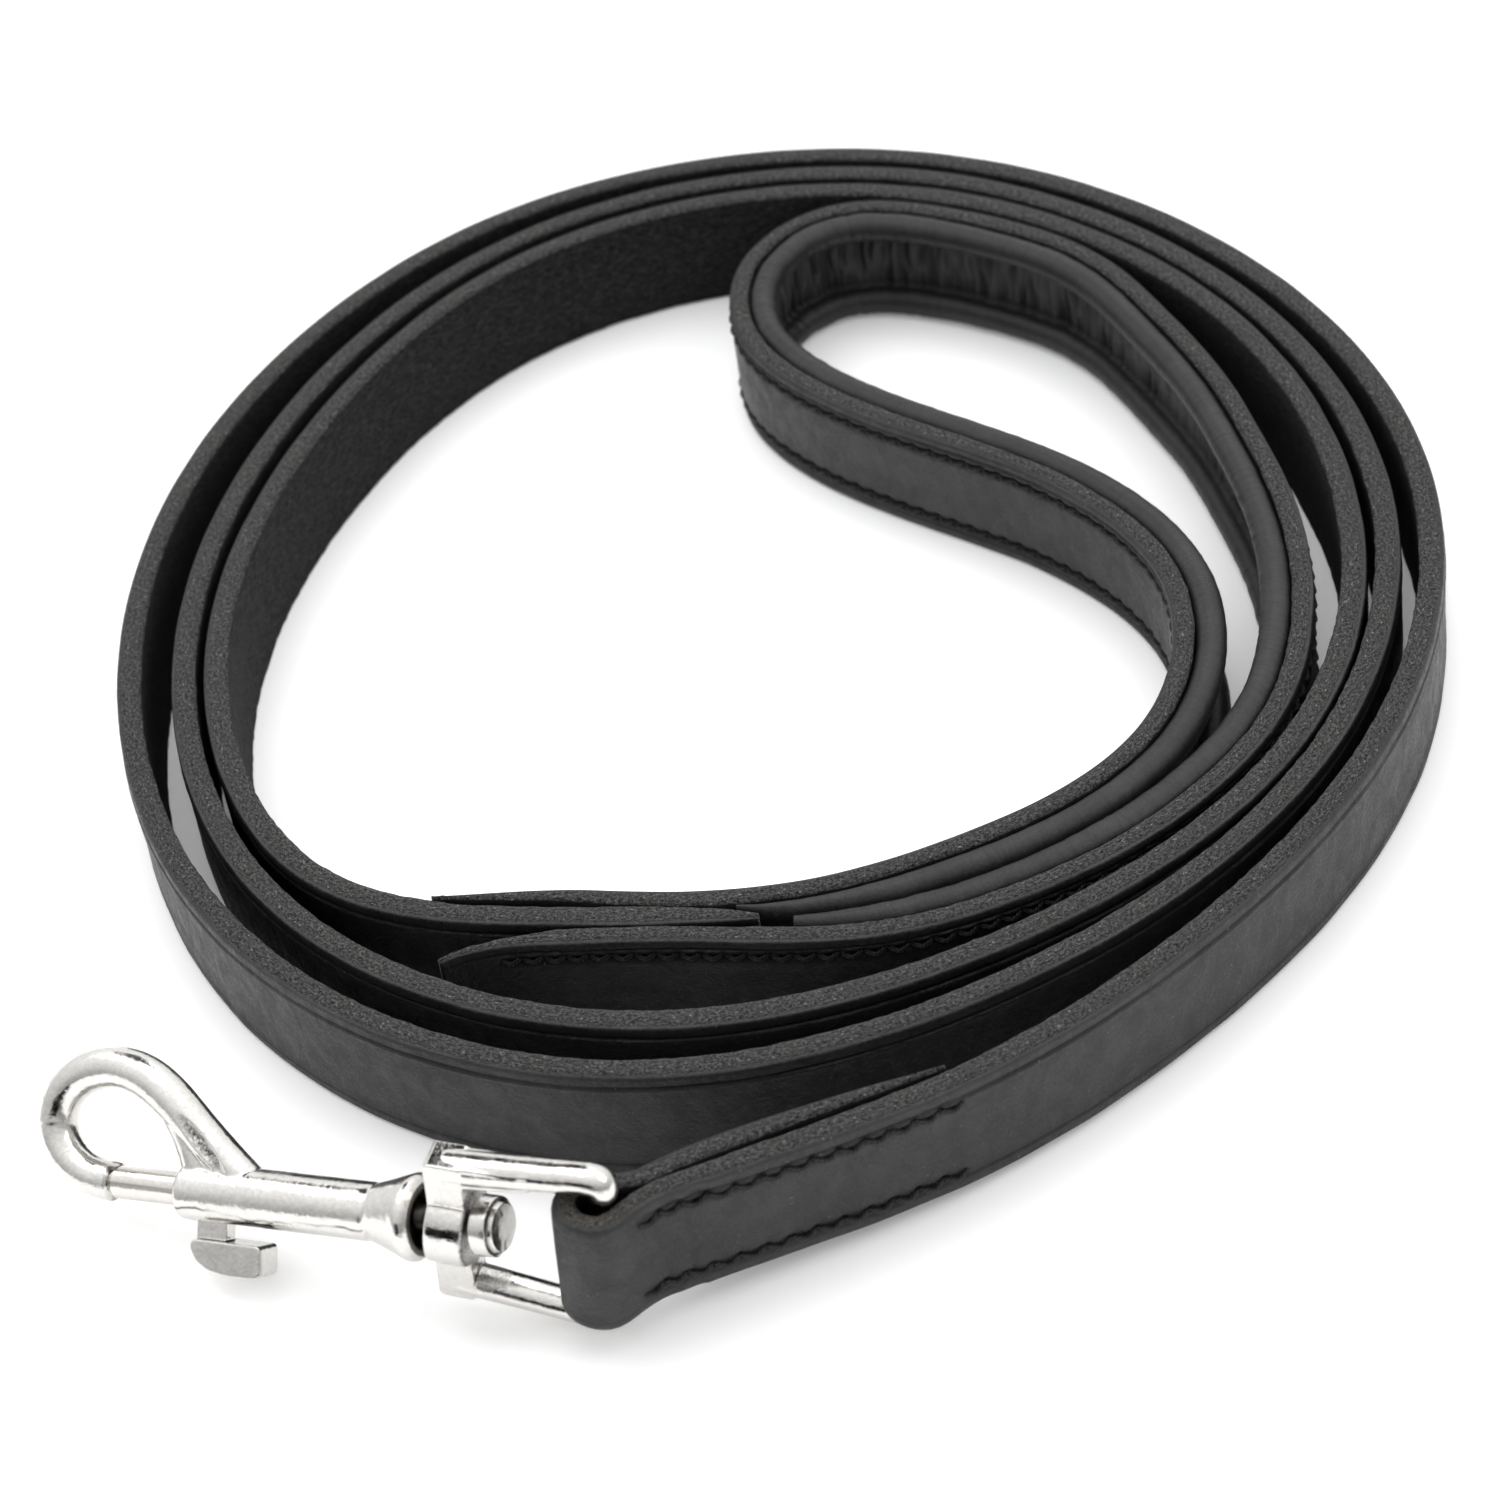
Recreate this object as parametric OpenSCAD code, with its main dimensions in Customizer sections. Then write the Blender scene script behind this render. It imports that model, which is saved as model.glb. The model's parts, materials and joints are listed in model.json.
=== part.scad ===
// Leather lead lying coiled on edge: one long strap folded and stitched round
// the eye of a swivel bolt snap at one end, and a padded hand loop sewn on at
// the other. Millimetres. The coil stands on the plane z = 0, +Z is up, and
// the origin is at the middle of the footprint. Seen from above the strap
// runs anticlockwise from the snap to the hand loop.

/* [Lead strap] */
// Width of the strap, edge to edge
strap_width = 20; // [18:0.5:20.5]
// Thickness of the strap
strap_thick = 4; // [3.2:0.1:4.1]
// Thickness where the strap folds round the eye bar
fold_thick = 3.5; // [2.8:0.1:3.6]
// Thickness at the tip of the skived tail
skive_thick = 0.6; // [0.4:0.1:1]

/* [Lay of the coil] */
// Centre of the coil, X and Y
coil_centre = [8, 18]; // [-20:0.5:40]
// First turn, control radius at each station from -72 degrees
turn_1 = [111, 108.5, 109.5, 114, 125.5, 127.5, 114, 108, 114, 116]; // [60:0.5:140]
// Second turn, same stations
turn_2 = [102.5, 102, 102, 107.5, 120, 119.5, 102.5, 99, 105.5, 105]; // [60:0.5:140]
// Third turn, as far as the hand loop
turn_3 = [95, 98, 95.5, 102.5, 114.5, 113, 95.5, 94, 99]; // [60:0.5:140]
// Angle between stations
turn_step = 36; // [36:1:36]

/* [Snap end] */
// Bend centre of the fold round the eye bar, X and Y
fold_centre = [-31.8, -111.6]; // [-120:0.1:0]
// Lean of the end of the lead, which rises over the eye's lower arm
end_pitch = 4.5; // [0:0.5:6]
// Height of the strap's lower edge at the fold
end_lift = 5.3; // [0:0.1:6]
// Direction in which the end of the lead points, from +X
end_dir = 193; // [190:1:196]

/* [Hand loop] */
// Thickness of the hand loop strap
loop_thick = 3.4; // [2.6:0.1:3.5]
// Diameter of the rolled edges of the lining
roll_d = 4.8; // [4:0.1:4.9]
// Thickness of the lining leather
lining_thick = 0.8; // [0.6:0.1:1]
// Diameter of the cords inside the rolled edges
cord_d = 2.6; // [2:0.1:2.7]

/* [Stitching] */
// Distance of a stitch row from the strap's edge
stitch_in = 3; // [2.5:0.1:4]
// Width of the thread
thread_width = 0.7; // [0.4:0.1:1]

/* [Bolt snap] */
// Radius of the barrel
barrel_r = 4.1; // [3.8:0.1:4.4]
// Radius of the sliding bolt
bolt_r = 2.4; // [2:0.1:2.6]
// Radial running clearance of the bolt
bolt_gap = 0.05; // [0.03:0.01:0.1]
// Radius of the rod that forms the hook
hook_r = 3; // [2.6:0.1:3.2]
// Direction of the eye, from +X
eye_yaw = 158; // [150:1:165]
// Direction of the snap, from +X
snap_yaw = 152; // [146:1:158]
// Slope of the snap down to the hook
snap_drop = 9; // [4:0.5:10]
// Tilt of the hook's plane about the snap's axis
snap_roll = 40; // [0:1:60]

/* [Hidden] */
// Moves the footprint's middle to the origin
shift = [-1.99, -10.26, 0];
leather = [0.16, 0.16, 0.17];
soft_leather = [0.24, 0.24, 0.25];
cord_grey = "dimgray";
nickel = [0.78, 0.77, 0.75];
steel = [0.6, 0.61, 0.63];
waxed = [0.08, 0.08, 0.08];

// ---- curves -------------------------------------------------------------
// Point at parameter t of span i of a uniform cubic B-spline
function spline_point(ctrl, i, t) = (pow(1 - t, 3) * ctrl[i]
  + (3 * pow(t, 3) - 6 * t * t + 4) * ctrl[i + 1]
  + (-3 * pow(t, 3) + 3 * t * t + 3 * t + 1) * ctrl[i + 2]
  + pow(t, 3) * ctrl[i + 3]) / 6;
// Whole B-spline through a list of control points
function spline(ctrl, steps) = let (last = len(ctrl) - 4) concat(
  [for (i = [0:last], k = [0:steps - 1]) spline_point(ctrl, i, k / steps)],
  [spline_point(ctrl, last, 1)]);
function unit(vec) = vec / norm(vec);
// Left-hand normal to the direction of travel at point i of a path
function left(path, i) =
  let (ahead = unit(path[min(i + 1, len(path) - 1)] - path[max(i - 1, 0)]))
  [-ahead[1], ahead[0]];
// Point at an offset to the left of point i of a path
function beside(path, i, offset) = path[i] + left(path, i) * offset;
// Distance along a path to each of its points
function runs(path, i = 0, run = 0) = i >= len(path) ? [] :
  concat([run], runs(path, i + 1,
    i + 1 < len(path) ? run + norm(path[i + 1] - path[i]) : run));
// Indices of the points that lie between two distances
function between(distances, low, high) =
  [for (i = [0:len(distances) - 1])
    if (distances[i] >= low && distances[i] <= high) i];
function polar(centre, radius, angle) =
  centre + radius * [cos(angle), sin(angle)];
function arc(centre, radius, first, last, steps) = [for (k = [0:steps])
  polar(centre, radius, first + (last - first) * k / steps)];
function reversed(list) = [for (i = [len(list) - 1:-1:0]) list[i]];
// Rectangular section between two offsets and two heights
function rect(near, far, low, high) =
  [[near, low], [near, high], [far, high], [far, low]];

// ---- solids -------------------------------------------------------------
// Skin over a list of rings that all have the same number of points
module skin(rings) {
  sides = len(rings[0]);
  count = len(rings);
  polyhedron(
    points = [for (ring = rings) each ring],
    faces = concat(
      [[for (j = [0:sides - 1]) j]],
      [for (i = [0:count - 2], j = [0:sides - 1])
        [i * sides + j, (i + 1) * sides + j, (i + 1) * sides + (j + 1) % sides]],
      [for (i = [0:count - 2], j = [0:sides - 1])
        [i * sides + j, (i + 1) * sides + (j + 1) % sides,
          i * sides + (j + 1) % sides]],
      [[for (j = [sides - 1:-1:0]) (count - 1) * sides + j]]),
    convexity = 12);
}
// Lays a shape drawn along +Z along +X, starting at x
module lying_at(x, z = 0) translate([x, 0, z]) rotate([0, 90, 0]) children();
// Plate of an outline in X and Z, centred on y = 0
module plate(width, outline) translate([0, width / 2, 0]) rotate([90, 0, 0])
  linear_extrude(height = width) polygon(outline);

// ---- lead strap path ----------------------------------------------------
// The tail lies along the first turn, passes round the eye bar, and the
// strap then runs into the first turn. Control points, X and Y
tail_ctrl = [[30.5, -92.3], [19.2, -94.4], [2, -98.5], [-11, -102.5],
  [-21.5, -106], [-26, -108.6]];
run_ctrl = [[-29.8, -116.2], [-24.6, -110.6], [-15.5, -108.5], [-3, -104.5],
  [13, -100]];
end_ctrl = [[-30.5, -51.5], [0.5, -57.5], [12.5, -64]];
fold_inner_r = 2.05;
fold_r = fold_inner_r + fold_thick / 2;
fold_start = 75;
fold_step = 45;
// A B-spline's control circle is larger than the circle it draws
fold_scale = (2 + cos(fold_step)) / 3;
fold_ctrl = [for (k = [0:4])
  polar(fold_centre, fold_r / fold_scale, fold_start + fold_step * k)];
coil_start = -72;
turns = concat(turn_1, turn_2, turn_3);
coil_ctrl = [for (k = [0:len(turns) - 1])
  polar(coil_centre, turns[k], coil_start + turn_step * k)];
lead_steps = 5;
lead_path = spline(concat(tail_ctrl, fold_ctrl, run_ctrl, coil_ctrl,
  end_ctrl), lead_steps);
lead_runs = runs(lead_path);
lead_len = lead_runs[len(lead_runs) - 1];
// Skived tail, thin fold, full strap, skived end: [distance, thickness]
lead_thicks = [[0, skive_thick], [4, 1], [12, 2.1], [22, 2.9],
  [30, fold_thick - 0.2], [70, fold_thick - 0.2], [76, fold_thick - 0.1],
  [100, strap_thick], [lead_len - 16, strap_thick], [lead_len - 8, 3.2],
  [lead_len - 3, 2.2], [lead_len, 1.2]];
function lead_half(i) = lookup(lead_runs[i], lead_thicks) / 2;

// ---- rise of the snap end -----------------------------------------------
// The strap curves up from the ground to its full lean at the fold
end_vec = [cos(end_dir), sin(end_dir)];
end_slope = end_pitch * PI / 180;
rise_len = 2 * end_lift / end_slope;
rise_from = fold_centre - end_vec * rise_len;
function lean_at(along) = end_pitch * min(1, max(0, along) / rise_len);
function rise_at(along) = along < 0 ? 0
  : along < rise_len ? end_lift * pow(along / rise_len, 2)
  : end_lift + (along - rise_len) * end_slope;
// Places a plan point at height z on the rising end of the strap
function raise(point, z) = let (along = (point - rise_from) * end_vec,
    lean = lean_at(along), foot = point - end_vec * z * sin(lean))
  [foot[0], foot[1], rise_at(along) + z * cos(lean)];
// Only the tail, the fold and the start of the first turn rise
rise_to = 230;
// One ring of the lead from a section of [offset to the left, height]
function lead_ring(i, section) = [for (corner = section)
  let (point = beside(lead_path, i, corner[0]))
  lead_runs[i] < rise_to ? raise(point, corner[1])
    : [point[0], point[1], corner[1]]];

// ---- hand loop path -----------------------------------------------------
// From the inner tail, round the loop, to the outer tail: control X and Y
loop_ctrl = [[-68.5, -41], [-49.5, -44.5], [-30.5, -46.5], [-12, -52.5],
  [7.5, -54], [26.5, -50], [44.5, -44], [60.5, -32], [68.5, -14],
  [69.5, 5.5], [61, 23.5], [48.5, 38], [33.5, 50.5], [20, 64], [9.5, 81],
  [10.5, 101], [21, 113.5], [34, 116.5], [47, 110.5], [57.5, 103],
  [68, 94], [75, 82.5], [79, 70.5], [85, 52.5], [87.5, 35.5],
  [89.5, 18.5], [89, 1], [85.5, -16], [78.5, -32.5], [66.5, -45],
  [52, -55], [36.5, -61], [18.5, -65], [2, -63], [-15.5, -58],
  [-32, -55], [-49.5, -52], [-66, -68]];
loop_steps = 3;
loop_path = spline(loop_ctrl, loop_steps);
loop_runs = runs(loop_path);
loop_len = loop_runs[len(loop_runs) - 1];
// The grain side, on the left, keeps its line, and the flesh side is skived
// at both tails: [distance, thickness]
loop_thicks = [[0, skive_thick - 0.15], [10, 1.6], [25, 2.7], [36, 3.1],
  [46, 3.1], [70, loop_thick], [loop_len - 90, loop_thick],
  [loop_len - 60, 3.3], [loop_len - 18, 3.1], [loop_len - 8, 1.8],
  [loop_len, 1]];
// Points of the loop path moved to the left, at the given indices
function loop_line(steps, offset) =
  [for (i = steps) beside(loop_path, i, offset)];

// ---- padding of the hand loop -------------------------------------------
pad_steps = between(loop_runs, 45, loop_len - 52);
pad_gap = 0.06;
// The rolled edges are squeezed where the two strands meet:
// [distance from the nearer end of the loop, share of the full depth]
squeezed = [[44, 0.16], [48, 0.38], [53, 0.59], [60, 0.74], [68, 0.87],
  [80, 0.94], [100, 1]];
function squeeze(run) =
  lookup(run < loop_len / 2 ? run : loop_len - run, squeezed);
// One ring on the flesh side from a section of [depth off the strap, height]
function pad_ring(i, section) = let (share = squeeze(loop_runs[i]))
  [for (corner = section) let (point = beside(loop_path, i,
      -(loop_thick / 2 + pad_gap + corner[0] * share)))
    [point[0], point[1], corner[1]]];
roll_r = roll_d / 2;
roll_inner_r = roll_r - lining_thick;
roll_low = roll_r + 0.05;
roll_high = strap_width - 2;
web_face = lining_thick + 0.1;
// Ends of the web's two faces, measured from the rolls
web_face_end = roll_r + 1;
web_back_end = roll_r + 0.6;
// The lining in section: a web on the strap, rolled out and over a cord at
// the top and at the bottom, with its two cut edges tucked in
lining_section = let (high = [roll_r, roll_high], low = [roll_r, roll_low])
  concat(
    arc(high, roll_r, 190, -100, 7),
    [[web_face, roll_high - web_face_end], [web_face, roll_low + web_face_end]],
    arc(low, roll_r, 100, -190, 7),
    arc(low, roll_inner_r, -190, 100, 5),
    [[0, roll_low + web_back_end], [0, roll_high - web_back_end]],
    arc(high, roll_inner_r, -100, 190, 5));
function cord_section(z) =
  [for (k = [0:7]) polar([roll_r, z], cord_d / 2, 45 * k)];

// ---- leather ------------------------------------------------------------
module lead_strap() color(leather) translate(shift)
  skin([for (i = [0:len(lead_path) - 1]) let (half = lead_half(i))
    lead_ring(i, rect(-half, half, 0, strap_width))]);

module handle_strap() color(leather) translate(shift)
  linear_extrude(height = strap_width) polygon(concat(
    loop_line([0:len(loop_path) - 1], loop_thick / 2),
    reversed([for (i = [0:len(loop_path) - 1]) beside(loop_path, i,
      loop_thick / 2 - lookup(loop_runs[i], loop_thicks))])));

module handle_lining() color(soft_leather) translate(shift)
  skin([for (i = pad_steps) pad_ring(i, lining_section)]);

module edge_cord(z) translate(shift)
  skin([for (i = pad_steps) pad_ring(i, cord_section(z))]);
module upper_edge_cord() color(cord_grey) edge_cord(roll_high);
module lower_edge_cord() color(cord_grey) edge_cord(roll_low);

// ---- stitching ----------------------------------------------------------
// Undersides of the two rows of thread
row_high = strap_width - stitch_in - thread_width / 2;
row_low = stitch_in - thread_width / 2;
// Distances of the thread's two faces from the leather
thread_near = 0.03;
thread_far = 0.35;

// Two threads of the seam that holds the folded end, one on each face
sewn_strap = between(lead_runs, 70, 120);
sewn_tail = between(lead_runs, 4, 48);
module end_seam(z) translate(shift)
  for (steps = [sewn_strap, sewn_tail])
    skin([for (i = steps) let (face = -lead_half(i)) lead_ring(i,
      rect(face - thread_far, face - thread_near, z, z + thread_width))]);
module snap_end_stitching_upper() color(waxed) end_seam(row_high);
module snap_end_stitching_lower() color(waxed) end_seam(row_low);

// The seam of the hand loop runs on the grain face from tail to tail
sewn_loop = between(loop_runs, 8, loop_len - 12);
module loop_seam(z) translate(shift) translate([0, 0, z])
  linear_extrude(height = thread_width) polygon(concat(
    loop_line(sewn_loop, loop_thick / 2 + thread_far),
    reversed(loop_line(sewn_loop, loop_thick / 2 + thread_near))));
module handle_stitching_upper() color(waxed) loop_seam(row_high);
module handle_stitching_lower() color(waxed) loop_seam(row_low);

// ---- snap frames --------------------------------------------------------
// The eye bar follows the lean of the fold it sits in
bar_up = unit([-end_vec[0] * sin(end_pitch), -end_vec[1] * sin(end_pitch),
  cos(end_pitch)]);
bar_z = 10.25;
// The bar lies a little behind the bend's centre, towards the seam
bar_back = 1;
bar_centre = raise(fold_centre - bar_back * end_vec, bar_z);
eye_pitch = atan(-(bar_up[0] * cos(eye_yaw) + bar_up[1] * sin(eye_yaw))
  / bar_up[2]);
eye_roll = asin(bar_up[0] * sin(eye_yaw) - bar_up[1] * cos(eye_yaw));
eye_axis = [cos(eye_pitch) * cos(eye_yaw), cos(eye_pitch) * sin(eye_yaw),
  sin(eye_pitch)];
// Distance from the bar to the middle of the eye's base
base_x = 21;
base_centre = bar_centre + base_x * eye_axis;
// Eye frame: origin on the bar, +X to the base, the bar along Z
module at_eye() translate(shift) translate(bar_centre)
  rotate([eye_roll, -eye_pitch, eye_yaw]) children();
// Snap frame: origin in the eye's base, +X along the barrel to the hook tip
module at_snap() translate(shift) translate(base_centre)
  rotate([snap_roll, snap_drop, snap_yaw]) children();

// ---- swivel eye ---------------------------------------------------------
// A flared stirrup: bar in the leather, two arms and a bored base
bar_r = 1.75;
arm_r = 2.1;
bar_half = 13.3;
base_half = 10.6;
base_thick = 5.5;
base_width = 5;
base_overhang = 2;
boss_r = 5.8;
eye_bore_r = 2.6;
// Arm on the upper (side = 1) or lower (side = -1) end of the bar
module arm(side) {
  flare = atan((bar_half - base_half) / base_x);
  translate([0, 0, side * bar_half]) {
    sphere(r = arm_r + 0.05, $fn = 40);
    rotate([0, 90 + side * flare, 0])
      cylinder(r = arm_r, h = base_x / cos(flare), $fn = 40);
  }
}
module swivel_eye() color(nickel) at_eye() difference() {
  union() {
    translate([0, 0, -bar_half])
      cylinder(r = bar_r, h = 2 * bar_half, $fn = 40);
    arm(1);
    arm(-1);
    translate([base_x - base_thick / 2, -base_width / 2, -base_half - base_overhang])
      cube([base_thick, base_width, 2 * (base_half + base_overhang)]);
    lying_at(base_x - base_thick / 2)
      cylinder(r = boss_r, h = base_thick, $fn = 64);
  }
  lying_at(base_x - base_thick)
    cylinder(r = eye_bore_r, h = 2 * base_thick, $fn = 48);
}

// ---- swivel rivet -------------------------------------------------------
// Places along the snap, from the middle of the eye's base
rivet_x = -7.6;
bell_x = 4.2;
seat_x = 8;
rivet_end = seat_x + 0.9;
mouth_x = 43.8;
tip_x = 56.2;

shank_r = 1.8;
head_r = 4.2;
head_edge = 0.8;
module swivel_rivet() color(nickel) at_snap() lying_at(rivet_x) {
  cylinder(r1 = 3.5, r2 = head_r, h = head_edge, $fn = 48);
  translate([0, 0, head_edge]) cylinder(r = head_r, h = 2.7, $fn = 48);
  cylinder(r = shank_r, h = rivet_end - rivet_x, $fn = 48);
}

// ---- snap body ----------------------------------------------------------
// Barrel with the swivel bell: [radius, distance along the snap]
barrel_outline = [[0, bell_x], [4.6, bell_x], [5.9, bell_x + 1.1],
  [6.1, bell_x + 1.9], [5.5, bell_x + 3.6], [4.7, bell_x + 6],
  [barrel_r, bell_x + 8.4], [barrel_r, mouth_x - 0.5],
  [barrel_r - 0.4, mouth_x], [0, mouth_x]];
// Web between the hook's arm and the barrel: X and Z
web_outline = [[30.5, 2.6], [43.6, 2.6], [43.3, 5.6], [42.2, 8.4],
  [40, 9], [34, 5.2]];
web_width = 3.4;
// Straight rods are a little thinner than the bends and lap into them
rod_r = hook_r - 0.1;
rod_lap = 0.4;
// Round end of the hook, from the tip up to the back
round_r = 8.1;
round_x = 58.4;
back_z = 2 * round_r;
// Bend from the back into the arm
shoulder_r = 12;
shoulder_x = 52;
arm_top = [43.8, 0, 12.98];
arm_len = 15.2;
slot_x = 25.8;
slot_len = 15.8;
slot_width = 2.7;

// Bend of the hook rod in the XZ plane, turning from +X towards +Z
module hook_bend(x, z, radius, start, sweep) translate([x, 0, z])
  rotate([90, 0, 0]) rotate([0, 0, start])
    rotate_extrude(angle = sweep, $fn = 72) translate([radius, 0])
      circle(r = hook_r, $fn = 48);

module hook() {
  // Tip
  lying_at(tip_x) cylinder(r = rod_r, h = round_x + rod_lap - tip_x, $fn = 48);
  hook_bend(round_x, round_r, round_r, -90, 180);
  // Back
  lying_at(shoulder_x - rod_lap, back_z)
    cylinder(r = rod_r, h = round_x - shoulder_x + 2 * rod_lap, $fn = 48);
  hook_bend(shoulder_x, back_z - shoulder_r, shoulder_r, 90, 45);
  // Arm down to the barrel
  translate(arm_top) rotate([0, 225, 0])
    cylinder(r1 = rod_r, r2 = hook_r + 0.5, h = arm_len, $fn = 48);
}

module snap_body() color(nickel) at_snap() difference() {
  union() {
    rotate([0, 90, 0]) rotate_extrude($fn = 72) polygon(barrel_outline);
    hook();
    plate(web_width, web_outline);
  }
  // Bore of the bolt and seat of the swivel rivet
  lying_at(seat_x)
    cylinder(r = bolt_r + bolt_gap, h = mouth_x - seat_x + 1, $fn = 48);
  lying_at(bell_x - 1)
    cylinder(r = shank_r + 0.01, h = seat_x - bell_x + 2, $fn = 48);
  // Slot for the thumb piece
  translate([slot_x, -slot_width / 2, -barrel_r - 2])
    cube([slot_len, slot_width, barrel_r + 2]);
}

// ---- bolt and thumb button ----------------------------------------------
bolt_x = 31;
stem_x = 23.5;
stem_r = 1.1;
stem_len = 8;
// Post of the thumb button, let into a groove in the bolt
post_x = 36.1;
post_len = 5;
post_width = 2.4;
post_low = -6.6;
post_high = -1.05;
groove_gap = 0.05;
groove_side_gap = 0.02;
// Thumb pad: X and Z
thumb_outline = [[29.8, -6.9], [30.3, -6.4], [41.3, -6.4], [41.4, -7.8],
  [40.4, -9.4], [38.6, -10.5], [36.2, -11], [30.4, -11], [29.8, -10.5]];
thumb_width = 4.6;

module snap_bolt() color(steel) at_snap() difference() {
  union() {
    lying_at(bolt_x) cylinder(r = bolt_r, h = tip_x - 0.8 - bolt_x, $fn = 48);
    // Tapered nose
    lying_at(tip_x - 0.9)
      cylinder(r1 = bolt_r, r2 = bolt_r - 0.4, h = 0.6, $fn = 48);
    // Stem inside the spring
    lying_at(stem_x) cylinder(r = stem_r, h = stem_len, $fn = 32);
  }
  translate([post_x - groove_gap, -post_width / 2 - groove_side_gap, -bolt_r - 1])
    cube([post_len + 2 * groove_gap, post_width + 2 * groove_side_gap, bolt_r]);
}

module thumb_button() color(nickel) at_snap() {
  translate([post_x, -post_width / 2, post_low])
    cube([post_len, post_width, post_high - post_low]);
  plate(thumb_width, thumb_outline);
}

// ---- spring -------------------------------------------------------------
// Compression spring between the rivet's end and the bolt's shoulder
wire_r = 0.25;
spring_r = 1.75;
spring_gap = 0.1;
spring_from = rivet_end + spring_gap + wire_r;
spring_to = bolt_x - spring_gap - wire_r;
spring_turns = 12;
turn_rings = 12;
module bolt_spring() color(steel) at_snap() {
  count = turn_rings * spring_turns;
  skin([for (k = [0:count]) let (angle = 360 * k / turn_rings,
      outward = [0, cos(angle), sin(angle)],
      x = spring_from + (spring_to - spring_from) * k / count,
      centre = [x, 0, 0] + spring_r * outward)
    [for (j = [0:5]) centre
      + wire_r * (cos(60 * j) * outward + sin(60 * j) * [1, 0, 0])]]);
}

lead_strap();
handle_strap();
handle_lining();
upper_edge_cord();
lower_edge_cord();
snap_end_stitching_upper();
snap_end_stitching_lower();
handle_stitching_upper();
handle_stitching_lower();
swivel_eye();
swivel_rivet();
snap_body();
snap_bolt();
thumb_button();
bolt_spring();
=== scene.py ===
"""A leather lead coiled on the floor, with a lined handle loop and a swivel bolt snap.

The straps stand on edge: the plan curves lie in x, y and the leather rises from z = 0 to
WIDTH. The snap end leaves the coil towards -x, -y and climbs a little. Sizes are in
millimetres until a mesh is made; the stage, lights and camera are in metres.
"""

import bpy
import bmesh
import math
import json
import numpy as np
from types import SimpleNamespace
from mathutils import Vector, Matrix


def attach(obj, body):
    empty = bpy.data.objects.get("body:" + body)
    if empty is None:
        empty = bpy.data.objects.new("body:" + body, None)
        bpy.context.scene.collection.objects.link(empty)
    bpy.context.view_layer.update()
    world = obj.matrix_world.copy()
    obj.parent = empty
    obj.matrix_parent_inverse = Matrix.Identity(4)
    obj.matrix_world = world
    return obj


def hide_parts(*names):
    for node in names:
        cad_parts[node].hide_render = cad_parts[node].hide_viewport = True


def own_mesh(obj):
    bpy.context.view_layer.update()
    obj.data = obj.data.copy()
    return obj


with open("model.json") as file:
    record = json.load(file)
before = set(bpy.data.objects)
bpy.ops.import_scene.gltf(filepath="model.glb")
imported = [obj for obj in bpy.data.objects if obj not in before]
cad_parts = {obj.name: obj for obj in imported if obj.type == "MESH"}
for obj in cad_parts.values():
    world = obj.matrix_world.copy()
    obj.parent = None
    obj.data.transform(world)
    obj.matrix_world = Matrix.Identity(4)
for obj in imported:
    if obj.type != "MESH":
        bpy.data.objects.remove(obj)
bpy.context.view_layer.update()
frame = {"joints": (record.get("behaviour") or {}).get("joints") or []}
SHIFT = np.array([-1.99, -10.26, 0.0])  # from the plan frame to the world
scene = bpy.context.scene


def level(full):
    """Returns the full level of detail."""
    return full


# ------------------------------------------------------------------ noise
def cells(x, wavelength):
    """Lattice cell of each value, and its eased place within the cell."""
    x = np.asarray(x, float) / wavelength
    cell = np.floor(x).astype(int)
    part = x - cell
    return cell, part * part * (3 - 2 * part)


def noise1(s, wavelength, seed):
    """Smooth noise along a line, in -1..1."""
    table = np.random.default_rng(seed).uniform(-1, 1, 4096)
    i, f = cells(s, wavelength)
    return table[i % 4096] * (1 - f) + table[(i + 1) % 4096] * f


def noise2(x, y, wave_x, wave_y, seed):
    """Smooth noise over a surface; x and y broadcast against each other."""
    table = np.random.default_rng(seed).uniform(-1, 1, (1024, 256))
    i, f = cells(x, wave_x)
    j, g = cells(y, wave_y)
    i0, i1, j0, j1 = i % 1024, (i + 1) % 1024, j % 256, (j + 1) % 256
    return (table[i0, j0] * (1 - f) * (1 - g) + table[i1, j0] * f * (1 - g)
            + table[i0, j1] * (1 - f) * g + table[i1, j1] * f * g)


def noise3(points, wavelength, seed):
    """Smooth noise through space."""
    table = np.random.default_rng(seed).uniform(-1, 1, (64, 64, 64))
    i, f = cells(points, wavelength)
    out = 0
    for corner in np.ndindex(2, 2, 2):
        wx, wy, wz = (f[..., k] if corner[k] else 1 - f[..., k] for k in range(3))
        x, y, z = ((i[..., k] + corner[k]) % 64 for k in range(3))
        out = out + wx * wy * wz * table[x, y, z]
    return out


def bump(x, centre, width):
    return np.exp(-((x - centre) / width) ** 2)


def unit(x):
    return np.clip(x, 0, 1)


# ------------------------------------------------------------------ curves
def bspline(controls, n):
    """Uniform cubic B-spline with n points to a span, in any number of dimensions."""
    c = np.asarray(controls, float)
    t = np.arange(n) / n
    weights = np.stack([(1 - t) ** 3, 3 * t ** 3 - 6 * t * t + 4,
                        -3 * t ** 3 + 3 * t * t + 3 * t + 1, t ** 3], 1) / 6
    spans = [weights @ c[i:i + 4] for i in range(len(c) - 3)]
    return np.concatenate(spans + [((c[-3] + 4 * c[-2] + c[-1]) / 6)[None]])


def full_bspline(controls, n):
    """B-spline that reaches its first and last control points."""
    c = np.asarray(controls, float)
    return bspline(np.concatenate([[2 * c[0] - c[1]], c, [2 * c[-1] - c[-2]]]), n)


def gaps(points):
    return np.hypot(*np.diff(points, axis=0).T)


def walked(points):
    return np.concatenate([[0], np.cumsum(gaps(points))])


def polar(centre, radius, degrees):
    a = math.radians(degrees)
    return centre + radius * np.array([math.cos(a), math.sin(a)])


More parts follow.
